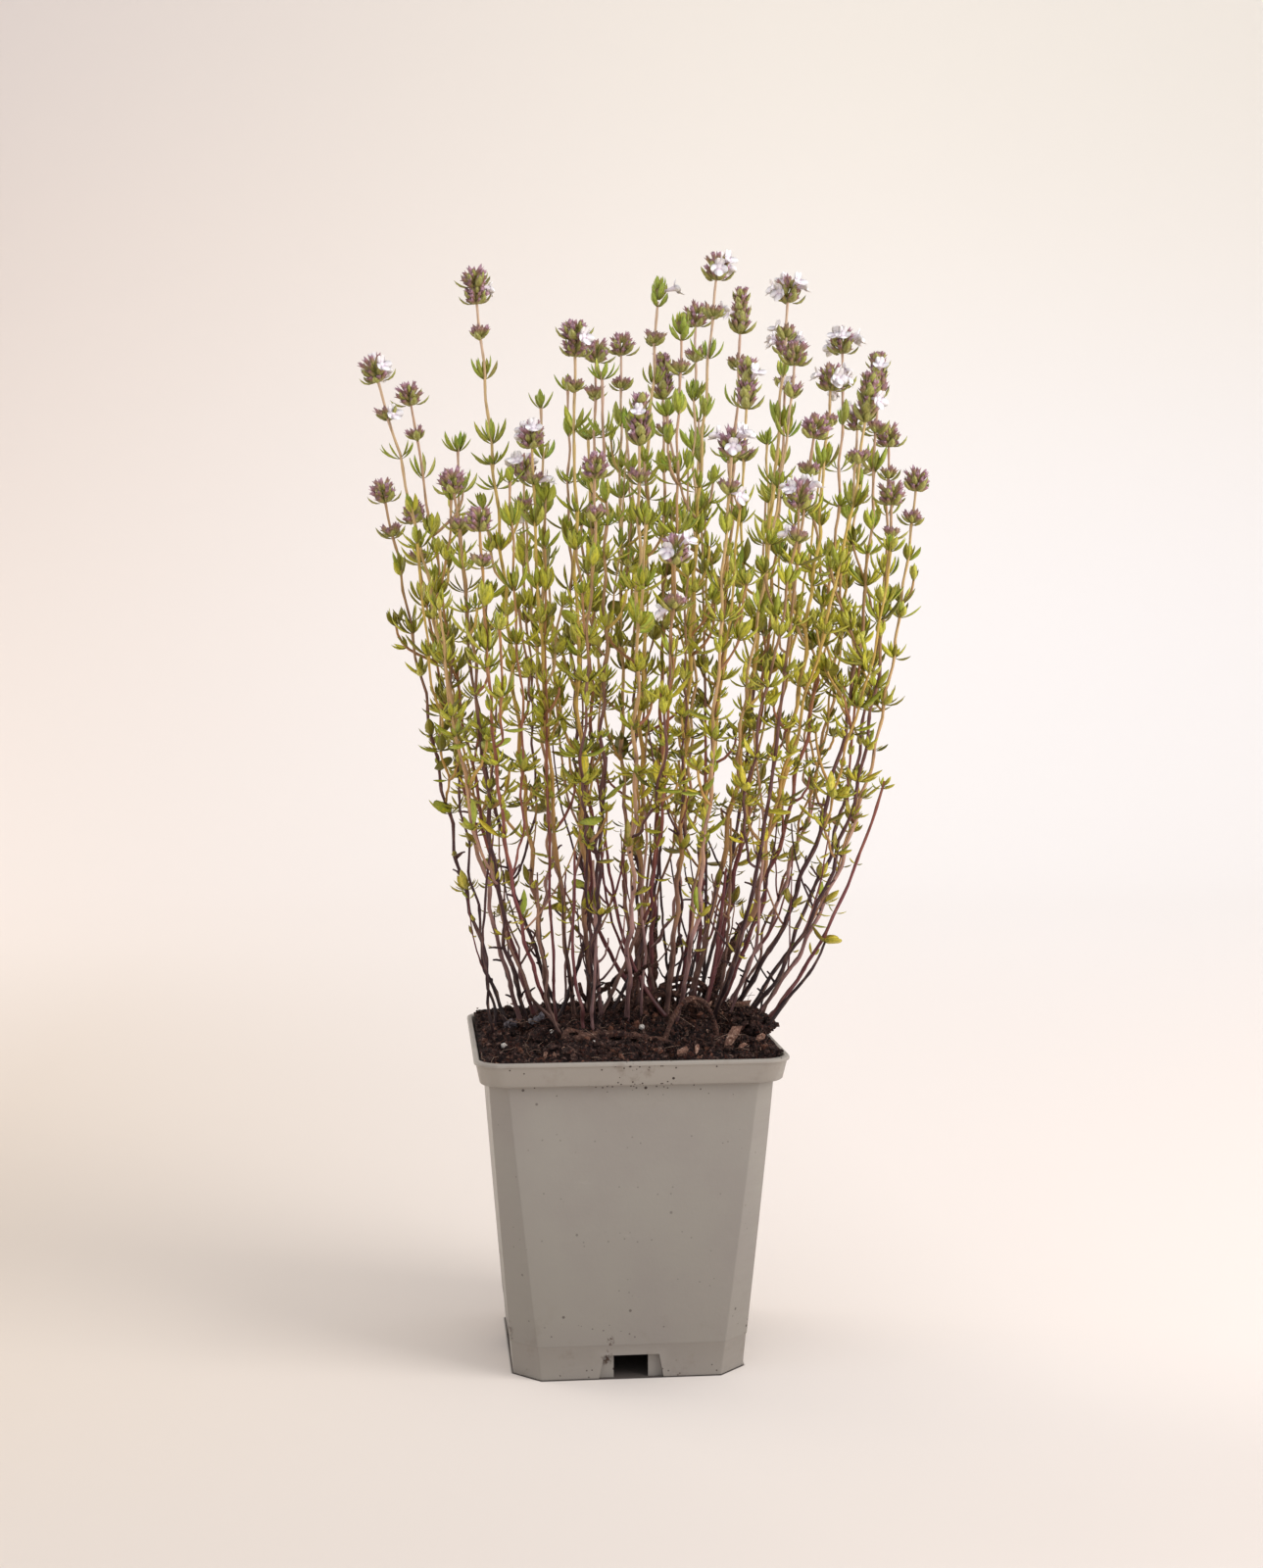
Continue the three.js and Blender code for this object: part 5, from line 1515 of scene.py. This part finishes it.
def cup_of_leaves(leaves, small, draw, middle, along, radius, turn, length, tufts, shape=STAR):
    """A node: an opposite pair, and the small leaves that crowd in its two axils."""
    for half in (0, math.pi):
        out = out_from(along, turn + half + draw(-0.2, 0.2), NODE_ASIDE)
        root = middle + out * radius * 0.7
        ways = blade_ways(along, out, draw(*shape.pair), draw(-0.25, 0.25))
        size = length * draw(0.82, 1.15)
        wide = size * draw(*shape.wide) * 1.1
        put_leaf(leaves, draw, root, ways, size, wide, draw(0.08, 0.2))
        for i in range(tufts):
            yaw = (i - (tufts - 1) / 2) * shape.apart + draw(-0.2, 0.2)
            ways = blade_ways(along, out, draw(*shape.small), yaw)
            size = length * draw(*shape.lengths)
            lift = along * draw(0.0, 0.9)
            put_leaf(small, draw, root + lift, ways, size, size * draw(*shape.wide))


def node_shape(z, left, draw):
    if z < 190:
        return STAR
    if left < 45:
        return TULIP if draw() < 0.75 else FAN
    return FAN if draw() < 0.75 else STAR


def node_size(z, left):
    """How long a node's leaves are, and how many small ones crowd in each axil: at least and in addition."""
    if z < 150:
        return (2.8, 5.0), 0, 0
    if z < 178:
        return (4.2, 6.4), 1.2, 1.8
    if left < 45:
        return (6.6, 8.8), 1.6, 2.6
    return ((6.4, 9.2), 2.0, 2.6) if z > 200 else ((5.0, 7.4), 1.7, 2.4)


def node_spacing(z, left):
    """How far it is to the next node down a stem, by height and by how much stem is left above."""
    if left < 42:
        return 14.5
    if z < 165:
        return 12.0
    return 15.8 if z > 200 else 12.6


def nearest_share(branch, point):
    shares = np.linspace(0, 1, 300)
    return shares[np.linalg.norm(branch.curve.at(shares) - point, axis=1).argmin()]


def give_sway(branch, draw, parent=None):
    """Bends a stem a little this way and that between its joints, most of all low down."""
    reach = branch.curve.length()
    waves = [(level_way(draw(*TURN)), draw(), draw(*wide)) for wide in ((15, 21), (27, 40))]
    carried = parent.sway(nearest_share(parent, branch.points[0])) if parent else np.zeros(3)

    def sway(t):
        t = np.asarray(t, float)[..., None]
        held = np.clip(t * 7, 0, 1) * np.clip((1 - t) * 9, 0, 1) * (1 - 0.65 * t)
        moved = carried * (1 - t) ** 3
        for way, phase, wide in waves:
            step = (t * reach / wide + phase) % 1
            moved = moved + held * way * (4 * np.abs(step - 0.5) - 1)
        return moved

    branch.sway = sway


def axis(branch, t):
    return branch.curve.at(t) + branch.sway(t)


def dress_branch(leaves, small, spurs, draw, branch, low_z):
    """Adds the nodes between the whorls that the part already has, from the tip down to a height."""
    reach = branch.curve.length()
    tip_free = 1.5 if branch.kind == "leafy" else SECOND_WHORL + head_size(branch.kind)[1] + 11.0
    at, turn = reach - tip_free, draw(*TURN)
    while at > 4:
        t = at / reach
        middle = axis(branch, t)
        z = middle[2]
        if z < low_z:
            break
        if min([abs(t - w) for w in branch.whorls] + [1]) * reach > 3.2:
            left = reach - at
            crowd = draw()
            sizes, least, more = node_size(z, left)
            size, tufts = draw(*sizes), int(least + crowd * more)
            if z > 150 or crowd < 0.6:
                shape = node_shape(z, left, draw)
                along, radius = branch.curve.along(t), branch.radius_at(t)
                cup_of_leaves(leaves, small, draw, middle, along, radius, turn, size, tufts, shape)
            if z > 150 and left > 26 and draw() < SPUR_CHANCE:
                spurs.append((branch, t, turn + math.pi / 2 * (1 if draw() < 0.5 else -1)))
        turn += math.pi / 2 + draw(-0.15, 0.15)
        at -= node_spacing(z, reach - at) * draw(0.82, 1.2)


def round_leaf(leaves, draw, branch):
    """One of the broad older leaves low on a stem."""
    shares = np.linspace(0, 1, 60)
    heights = branch.curve.at(shares)[:, 2]
    z = draw(128, 192)
    if heights[-1] < z:
        return
    t = float(np.interp(z, heights, shares))
    along = branch.curve.along(t)
    ways = blade_ways(along, out_from(along, draw(*TURN)), draw(0.9, 1.7), draw(-0.3, 0.3))
    length = draw(5.6, 8.4)
    width = length * draw(0.7, 0.85)
    put_leaf(leaves, draw, axis(branch, t), ways, length, width, draw(0.05, 0.14), 0.2, 1.0)


# Stems


def bark_tube(skin, points, radii, family, sides, squareness=0.0):
    """A tube that lies on its family's strip of the map, by height."""
    heights = np.clip(points[:, 2] / MAP_TOP, 0, 1)

    def place(turn, step):
        return (family + 0.05 + 0.9 * turn) * FAMILY_WIDTH, heights[step]

    tube(skin, points, radii, sides, place, 0, squareness)


def stem_tube(skin, branch, thinner, family, sides=8):
    """The smooth stem: swollen at its joints, and a little crooked between them."""
    reach = branch.curve.length()
    last = 1.0 if branch.kind == "leafy" else 1 - 0.45 * head_size(branch.kind)[1] / reach
    shares = np.linspace(0, last, max(8, int(reach / STEM_STEP)))
    points = axis(branch, shares)
    radii = vec(*[branch.radius_at(t) for t in shares]) * thinner * (1 - 0.12 * shares)
    whorls, others = branch.whorls, np.arange(9.0, reach, 11.5) / reach
    for joints, swell, wide in ((whorls, 0.3, 1.3), (others, 0.24, 1.0)):
        for joint in joints:
            radii *= 1 + swell * np.exp(-(((shares - joint) * reach / wide) ** 2))
    radii *= 1 + 0.06 * np.sin(shares * reach * 0.9)
    if branch.before:
        foot = branch.before[0]
        lead = vec(*[foot + (points[0] - foot) * s for s in (0, 0.35, 0.6, 0.8)])
        points = np.vstack([lead, points])
        radii = np.append(radii[0] * vec(1.0, 1.3, 1.4, 1.15), radii)
    bark_tube(skin, points, radii, family, sides, 0.07)


def tapering(thick, loss, count):
    return thick * (1 - loss * np.linspace(0, 1, count))


def thin_line(skin, line, radii, draw, family, sides=6):
    steps = np.linspace(0, 1, len(radii))
    bends = vec(*[(draw() - 0.5, draw() - 0.5, 0.0) for _ in steps]) * 0.5
    bark_tube(skin, line.at(steps) + bends * (np.sin(steps * math.pi))[:, None], radii, family, sides)


def rising_curve(base, aim, start, length, early, late):
    """A curve that leaves its base by one way, and comes up to a tip that lies by another."""
    tip = base + unit(aim + UP) * length
    return Curve(base, base + start * length * early, tip - UP * length * late, tip)


def spur(skin, small, draw, branch, t, turn):
    """A short side shoot that bends up from a node, with a pair on the way and a cup at its tip."""
    along = branch.curve.along(t)
    out = out_from(along, turn, NODE_ASIDE)
    length = draw(7, 19)
    line = rising_curve(axis(branch, t), out * draw(0.45, 1.0), out + along * 0.5, length, 0.3, 0.4)
    thin_line(skin, line, 0.5 - 0.12 * np.linspace(0, 1, 7), draw, RED if draw() < 0.4 else TAN)
    size = draw(4.6, 6.8)
    for share, tufts in ((0.55, 1), (0.97, 3)):
        if share < 0.9 and length < 10:
            continue
        at, shape = line.at(share), node_shape(line.points[3][2], 0, draw)
        cup_of_leaves(small, small, draw, at, line.along(share), 0.45, turn + share * 4, size, tufts, shape)


def slim(thick):
    """How thick an added stem is at each share of its length."""
    return lambda t: thick * (1 - 0.3 * t)


def side_stem(draw, main):
    """A thin stem from near the main one's foot, which crosses it low down and leans away above."""
    level = [1, 1, 0]
    start, beside = main.curve.at(0.0), main.curve.at(draw(0.42, 0.92))
    away = level_way(draw(*TURN))
    outward = (beside - CROWN_AXIS) * level
    if away @ outward > 0.3 * np.linalg.norm(outward):
        away = -away
    tip = beside + away * draw(4, 13)
    foot = start - away * draw(3, 12) + vec(draw(-3, 3), 0, 0)
    foot[:2] = np.clip(foot[:2], [-37, -4], [41, 34])
    foot[2] = soil_height(foot[0], foot[1]) - SHALLOW
    rise = tip[2] - foot[2]
    lean = (main.curve.at(0.3) - start) * level
    low = foot + lean * draw(0.2, 1.2) + UP * rise * draw(0.15, 0.3)
    high = tip - UP * rise * draw(0.25, 0.45) - away * draw(-2, 6)
    return Branch(Curve(foot, low, high, tip), [], [], slim(draw(0.34, 0.54)), "leafy")


def thin_twigs(skin, small, draw, stem, count):
    """Thin twigs low on a stem, bare but for a few tiny leaves near the tip."""
    for _ in range(count):
        base = axis(stem, draw(0.02, 0.3))
        turn, length = draw(*TURN), draw(12, 46)
        out = level_way(turn) * draw(0.15, 0.6)
        line = rising_curve(base, out, out + UP * 0.3, length, 0.35, 0.3)
        thin_line(skin, line, tapering(draw(0.26, 0.44), 0.4, 12), draw, int(draw() * 2.5))
        for share in (0.55, 0.78, 0.98):
            if draw() < 0.6:
                middle, along, size = line.at(share), line.along(share), draw(2.2, 4.2)
                cup_of_leaves(small, small, draw, middle, along, 0.35, turn + share * 8, size, 0)


def stubs(skin, draw, stem, count):
    """Short dead stubs and knobs low on a stem."""
    for _ in range(count):
        base = axis(stem, draw(0.0, 0.36))
        turn, length = draw(*TURN), draw(1.4, 5.0)
        tip = base + unit(level_way(turn, draw(0.0, 1.2))) * length
        line = Curve(base, base + (tip - base) * 0.3, base + (tip - base) * 0.6 + UP * 0.4, tip)
        thin_line(skin, line, [0.5, 0.36, 0.34, 0.26], draw, DARK, 5)


def crossing_stems():
    """Thin old stems that lean across the crown low down, with a fork here and there."""
    draw = draws(CROSSING_SEED)
    skin = Skin()
    for i in range(CROSSING_STEMS):
        x, y = draw(-30, 38), draw(2, 32)
        foot = vec(x, y, soil_height(x, y) - SHALLOW)
        rise = draw(34, 92)
        inward = -1 if x > CROWN_AXIS[0] else 1
        aside = draw(5, 24) * (inward if i % 3 else -inward * 0.4)
        tip = foot + vec(aside, draw(-8, 8), rise)
        low = foot + vec(aside * draw(0.3, 0.9), draw(-2, 2), rise * 0.25)
        high = tip - vec(aside * draw(-0.1, 0.3), 0.0, rise * 0.4)
        line = Curve(foot, low, high, tip)
        thick = draw(0.36, 0.8)
        family = int(draw() * 3.4) % 4
        count = int(rise / 2.2)
        knots = 1 + 0.2 * np.maximum(0, np.sin(np.linspace(0, rise / 1.9, count)))
        thin_line(skin, line, tapering(thick, 0.5, count) * knots, draw, family, 7)
        for _ in range(int(draw() * 3)):
            base, out, length = line.at(draw(0.25, 0.8)), level_way(draw(*TURN)), draw(8, 26)
            fork = rising_curve(base, out * draw(0.3, 0.8), out + UP * 0.4, length, 0.3, 0.3)
            thin_line(skin, fork, tapering(thick * 0.6, 0.4, 10), draw, family)
    part_of_plant(skin.make("crossing_stems", SPRIG_FINISH[:1]), "wood")


def stray_stems():
    """A few more stems that lean out of the crown in front and at the right."""
    draw = draws(STRAY_SEED)
    skin, leaves, small = Skin(), Leaves(), Leaves()
    for family, thick, points in STRAY_STEMS:
        branch = Branch(Curve(*points), [], [], slim(thick), "leafy")
        give_sway(branch, draw)
        stem_tube(skin, branch, 1.0, family, 7)
        dress_branch(leaves, small, [], draw, branch, LOWEST["stray"])
        tip, along = axis(branch, 1.0), branch.curve.along(1.0)
        if tip[2] < 130:
            for turn in (0.4, 2.2, 4.2):
                ways = blade_ways(along, out_from(along, turn), 1.1, 0.0)
                put_leaf(leaves, draw, tip, ways, 6.6, 4.8, 0.1, 0.2, 1.0)
    leaves.skin(skin)
    small.skin(skin, SMALL_BLADE)
    part_of_plant(skin.make("stray_stems", SPRIG_FINISH), "sprig")


# Heads and flowers


def calyx(skin, base, way, length, width, tint, draw):
    """A ribbed bell with pointed teeth that lean out, its mouth closed by a bud."""
    sides, k = CALYX_SIDES, np.arange(CALYX_SIDES)
    side = unit(cross(way, (0.21, 0.4, 0.9)))
    angles = (k + draw()) / sides * 2 * math.pi
    ring = np.outer(np.cos(angles), side) + np.outer(np.sin(angles), cross(way, side))
    rings = [base + way * share * length + ring * wide * width for share, wide in CALYX_RINGS]
    pointed = k % 2 == 0
    tall = np.where(pointed, draw(1.02, 1.24), 0.87)
    teeth = base + way * (tall * length)[:, None] + ring * np.where(pointed, 1.12, 0.86)[:, None] * width
    inner = base + way * 0.8 * length + ring * 0.62 * width
    faces, step, turn = ring_faces(len(rings) + 2, sides)
    v = 0.03 + vec(*[share for share, _ in CALYX_RINGS], 1.0, 0.8)[step] * 0.94
    places = np.stack([(tint + turn / sides) * TINT_WIDTH, v], -1)
    skin.add(np.concatenate([*rings, teeth, inner]), faces, places)
    last = (len(rings) + 2) * sides
    cap = np.stack([k + last - sides, (k + 1) % sides + last - sides, np.full(sides, last)], 1)
    u = (tint + np.stack([k, k + 1, k + 0.5], 1) / sides) * TINT_WIDTH
    places = np.stack([u, np.tile([0.8, 0.8, 0.97], (sides, 1))], -1)
    skin.add(base + way[None] * 0.95 * length, cap, places)
    skin.close()


def bract(leaves, draw, root, along, turn, open_by, length, width):
    ways = blade_ways(along, out_from(along, turn), open_by, draw(-0.2, 0.2))
    put_leaf(leaves, draw, root, ways, length, width, draw(0.14, 0.22), 0.35, 0.4, BRACT_COLUMN)


def evenly(draw, i, count, loose):
    """The turn of one of several things that stand round a stem, moved a little."""
    return (i + draw(-loose, loose)) / count * 2 * math.pi


def globe_of_calyces(skin, leaves, draw, middle, along, wide, tall, tints):
    """Calyces that stand out of a short axis all round, with bracts cupped beneath and among them."""
    wide, tall = wide * 0.88, tall * 0.9
    for number, (level, count) in enumerate(GLOBE_LEVELS):
        for i in range(count):
            out = out_from(along, evenly(draw, i + 0.5 * (number % 2), count, 0.2))
            reach = math.sqrt(max(0.05, 1 - level * level)) * draw(0.82, 1.04)
            tip = middle + out * wide * reach + along * tall * (level + draw(0.05, 0.22))
            base = middle + out * wide * 0.14 + along * tall * (level * 0.75 - 0.46)
            length, width = np.linalg.norm(tip - base), draw(0.58, 0.74)
            calyx(skin, base, (tip - base) / length, length, width, int(draw(*tints)), draw)
    top = middle + along * tall * 0.96
    calyx(skin, top - along * 3.2, along, 3.1, 0.75, int(draw(*tints)), draw)
    for level, count, open_by, size in GLOBE_BRACTS:
        for i in range(count):
            turn = evenly(draw, i, count, 0.25) + level * 3
            root = middle + along * tall * level + out_from(along, turn) * wide * 0.42
            length = wide * size * draw(0.85, 1.1)
            bract(leaves, draw, root, along, turn, open_by * draw(0.8, 1.1), length, length * 0.46)


def spike_of_whorls(skin, leaves, draw, middle, along, wide, tall, tints):
    """A loose spike: crossed pairs of broad bracts, each over a ring of small calyces."""
    for number in range(SPIKE_LEVELS):
        share = number / (SPIKE_LEVELS - 1)
        at = middle + along * tall * (1.42 * share - 0.92)
        reach = wide * (1.0 - 0.25 * share)
        turn = number * math.pi / 2 + draw(-0.3, 0.3)
        for quarter in range(4):
            aside = turn + quarter * math.pi / 2
            length = reach * (draw(0.8, 1.05) if quarter % 2 else draw(1.1, 1.35))
            root = at + out_from(along, aside) * 0.3
            bract(leaves, draw, root, along, aside, draw(0.45, 0.9), length, length * 0.52)
        count = int(draw(6, 8))
        for i in range(count):
            out = out_from(along, turn + evenly(draw, i, count, 0.25))
            way = unit(out * draw(0.35, 0.8) + along)
            length, width = reach * draw(0.85, 1.05), draw(0.56, 0.7)
            calyx(skin, at + out * 0.3, way, length, width, int(draw(*tints)), draw)
    for i in range(5):
        way = unit(out_from(along, i * 1.27) * 0.5 + along)
        calyx(skin, middle + along * tall * 0.56, way, 3.0, 0.56, int(draw(*tints)), draw)


def leafy_bud(skin, leaves, draw, middle, along, wide, tall):
    """A head that is still green: upright leaves one within the other."""
    for level, count, open_by, size in BUD_LEAVES:
        for i in range(count):
            out = out_from(along, evenly(draw, i, count, 0.2) + level * 3)
            ways = blade_ways(along, out, open_by, draw(-0.2, 0.2))
            length = wide * size * draw(0.9, 1.1)
            root = middle + along * tall * level + out * 0.4
            put_leaf(leaves, draw, root, ways, length, length * 0.36, 0.16, 0.35)
    for i in range(4):
        way = unit(out_from(along, i * 1.6) * 0.3 + along)
        calyx(skin, middle - along * tall * 0.4, way, 3.6, 0.6, 0, draw)


def dress_head(skin, leaves, draw, kind, middle, along, tints):
    """A globe, a loose spike for the larger heads, or a leafy bud."""
    wide, tall = head_size(kind)
    if tints == GREEN_TINTS:
        leafy_bud(skin, leaves, draw, middle, along, wide, tall)
    elif kind in ("head", "bloom"):
        globe_of_calyces(skin, leaves, draw, middle, along, wide, tall, tints)
    elif kind == "tall":
        for at, width in ((-0.52, 0.95), (0.42, 1.05)):
            centre = middle + along * tall * at
            globe_of_calyces(skin, leaves, draw, centre, along, wide * width, tall * 0.66, tints)
    else:
        spike_of_whorls(skin, leaves, draw, middle, along, wide, tall, tints)


def lower_whorl(skin, leaves, draw, middle, along):
    """A ring of calyces round the stalk below a head, over a pair of bracts."""
    count = int(draw(7, 11))
    for i in range(count):
        out = out_from(along, evenly(draw, i, count, 0.2))
        way = unit(out * draw(0.45, 1.1) + along)
        length, width = LOWER_CALYX * draw(0.75, 1.1), draw(0.62, 0.8)
        calyx(skin, middle + out * 0.4, way, length, width, int(draw(0, 5)), draw)
    start = draw(0, 3.1)
    for i in range(6):
        turn = start + i * math.pi / 3
        large = i % 3 == 0
        length = draw(5.0, 6.6) if large else draw(3.0, 4.2)
        root = middle + out_from(along, turn) * 0.4 - along * (0.9 if large else 0.2)
        bract(leaves, draw, root, along, turn, draw(0.75, 1.1), length, length * 0.42)


def flower(skin, petals, draw, root, out, up):
    """A corolla: a tube, an upright upper lip and a lower lip of three lobes."""
    size = draw(0.9, 1.15)
    side = unit(cross(up, out))
    lift = unit(up - out * (up @ out))
    throat = root + out * 2.6 * size
    points = [root, root + out * 1.3 * size, throat, throat + out * 0.3]
    tube(skin, points, [0.4, 0.5, 0.85, 1.0], 6, lambda a, b: (TUBE_AT + a * 0.02, 0.1 + b * 0.08), 1)
    for aside, way, length, width, tilt in LOBES:
        forward = unit(out * (0.5 if way > 0 else 0.7) + lift * way * tilt + side * aside)
        above = unit(out - forward * (out @ forward))
        ways, start = (forward, cross(above, forward), above), throat + forward * 0.2
        column = int(draw(*PETAL_COLUMNS))
        petals.add(start, ways, length * size, width * size, 0.08, 0.1, 1.0, column, column, 0)


def put_flowers(skin, petals, draw, faces, more, middle, along, wide):
    """Flowers that face the given ways, and some more that face any way."""
    others = [unit(level_way(draw(*TURN), draw(-0.3, 0.9))) for _ in range(more)]
    for out in [*faces, *others]:
        flower(skin, petals, draw, middle + out * wide * 0.4, out, along)


# A whole plant


def crown_branch(owner, branch, draw, deco, bells, petals, small):
    """Dresses the head of a branch, and gives the branch's points and whorls that are left for leaves."""
    points, whorls = branch.points, branch.whorls
    if branch.kind == "leafy":
        return points, whorls
    wide, tall = head_size(branch.kind)
    middle = points[-1]
    along = unit(middle - points[-2])
    faces = place_flowers(owner, middle, along, wide, draw) if branch.kind == "bloom" else []
    dress_head(bells, small, deco, branch.kind, middle, along, TINTS_OF.get(owner + 1, COMMON_TINTS))
    more = MORE_FLOWERS.get(branch.kind, 0)
    put_flowers(bells, petals, deco, faces, more, middle, along, wide)
    if branch.before:
        points = np.vstack([points[:-1], middle - along * (tall * HEAD_CORE * BALL_INSIDE + GAP)])
    at, upward = axis(branch, whorls[-1]), branch.curve.along(whorls[-1])
    lower_whorl(bells, small, deco, at, upward)
    if branch.kind == "bloom":
        put_flowers(bells, petals, deco, [], 1, at, upward, 2.4)
    return points, whorls[:-1]


def leaf_branch(owner, branch, points, whorls, draw, deco, leaves, small):
    """The leaves that the part has too, each with a cup of small ones on its whorl."""
    for leaf in grow_leaves(owner, branch, points, draw):
        if leaf.kind == "calyx":
            continue
        root = leaf.root + branch.sway(nearest_share(branch, leaf.root))
        bend = deco(0.05, 0.14)
        wide = leaf.length * deco(0.25, 0.34)
        put_leaf(leaves if leaf.kind == "leaf" else small, deco, root, leaf.ways, leaf.length, wide, bend)
    for t in whorls:
        middle, along = axis(branch, t), branch.curve.along(t)
        size = deco(5.0, 7.2) if middle[2] > 165 else deco(3.4, 5.2)
        tufts = 3 if middle[2] > 185 else 2
        turn, left = deco(0, 3.1), (1 - t) * branch.curve.length()
        shape = node_shape(middle[2], left, deco)
        cup_of_leaves(small, small, deco, middle, along, branch.radius_at(t), turn, size, tufts, shape)


def build_plant(owner, draw, branches):
    number = f"{owner + 1:02d}"
    main = branches[0]
    deco = draws(DRESS_SEED + owner)
    skin, bells, petals = Skin(), Skin(), Leaves(*PETAL_CELLS)
    leaves, small = (Leaves(hues=PLANT_COLUMNS[owner % 3]) for _ in range(2))
    spurs = []
    for branch in branches:
        give_sway(branch, deco, None if branch is main else main)
        points, whorls = crown_branch(owner, branch, draw, deco, bells, petals, small)
        family = BARK_OF.get(owner + 1, DARK) if branch is main else int(deco() * 4)
        stem_tube(skin, branch, 0.7, family)
        leaf_branch(owner, branch, points, whorls, draw, deco, leaves, small)
        dress_branch(leaves, small, spurs, deco, branch, LOWEST["main" if branch is main else "shoot"])
        if deco() < 0.5:
            round_leaf(leaves, deco, branch)
    for _ in range(owner % 2):
        branch = side_stem(deco, main)
        give_sway(branch, deco)
        stem_tube(skin, branch, 1.0, int(deco() * 4), 6)
        dress_branch(leaves, small, spurs, deco, branch, LOWEST["side"])
        if deco() < 0.35:
            round_leaf(leaves, deco, branch)
    for branch, t, turn in spurs:
        spur(skin, small, deco, branch, t, turn)
    thin_twigs(skin, small, deco, main, 1 + owner % 2)
    stubs(skin, deco, main, 4)
    leaves.skin(skin)
    small.skin(skin, SMALL_BLADE)
    part_of_plant(skin.make(f"fine_sprig_{number}", SPRIG_FINISH), "sprig", f"sprig_{number}")
    if bells.count:
        petals.skin(bells)
        nodes = [] if main.kind == "leafy" else [f"head_{number}"]
        part_of_plant(bells.make(f"fine_head_{number}", HEAD_FINISH), "head", *nodes)


EARTH = {name: earth_material(name) for name in EARTH_TONES}
SPRIG_FINISH = [bark_material(), leaf_material()]
HEAD_FINISH = [calyx_material(), petal_material()]

build_room()
build_pot()
build_soil()
scatter_soil()
build_roots()
crossing_stems()
stray_stems()
for owner, (draw, branches) in enumerate(grow_plants()):
    build_plant(owner, draw, branches)
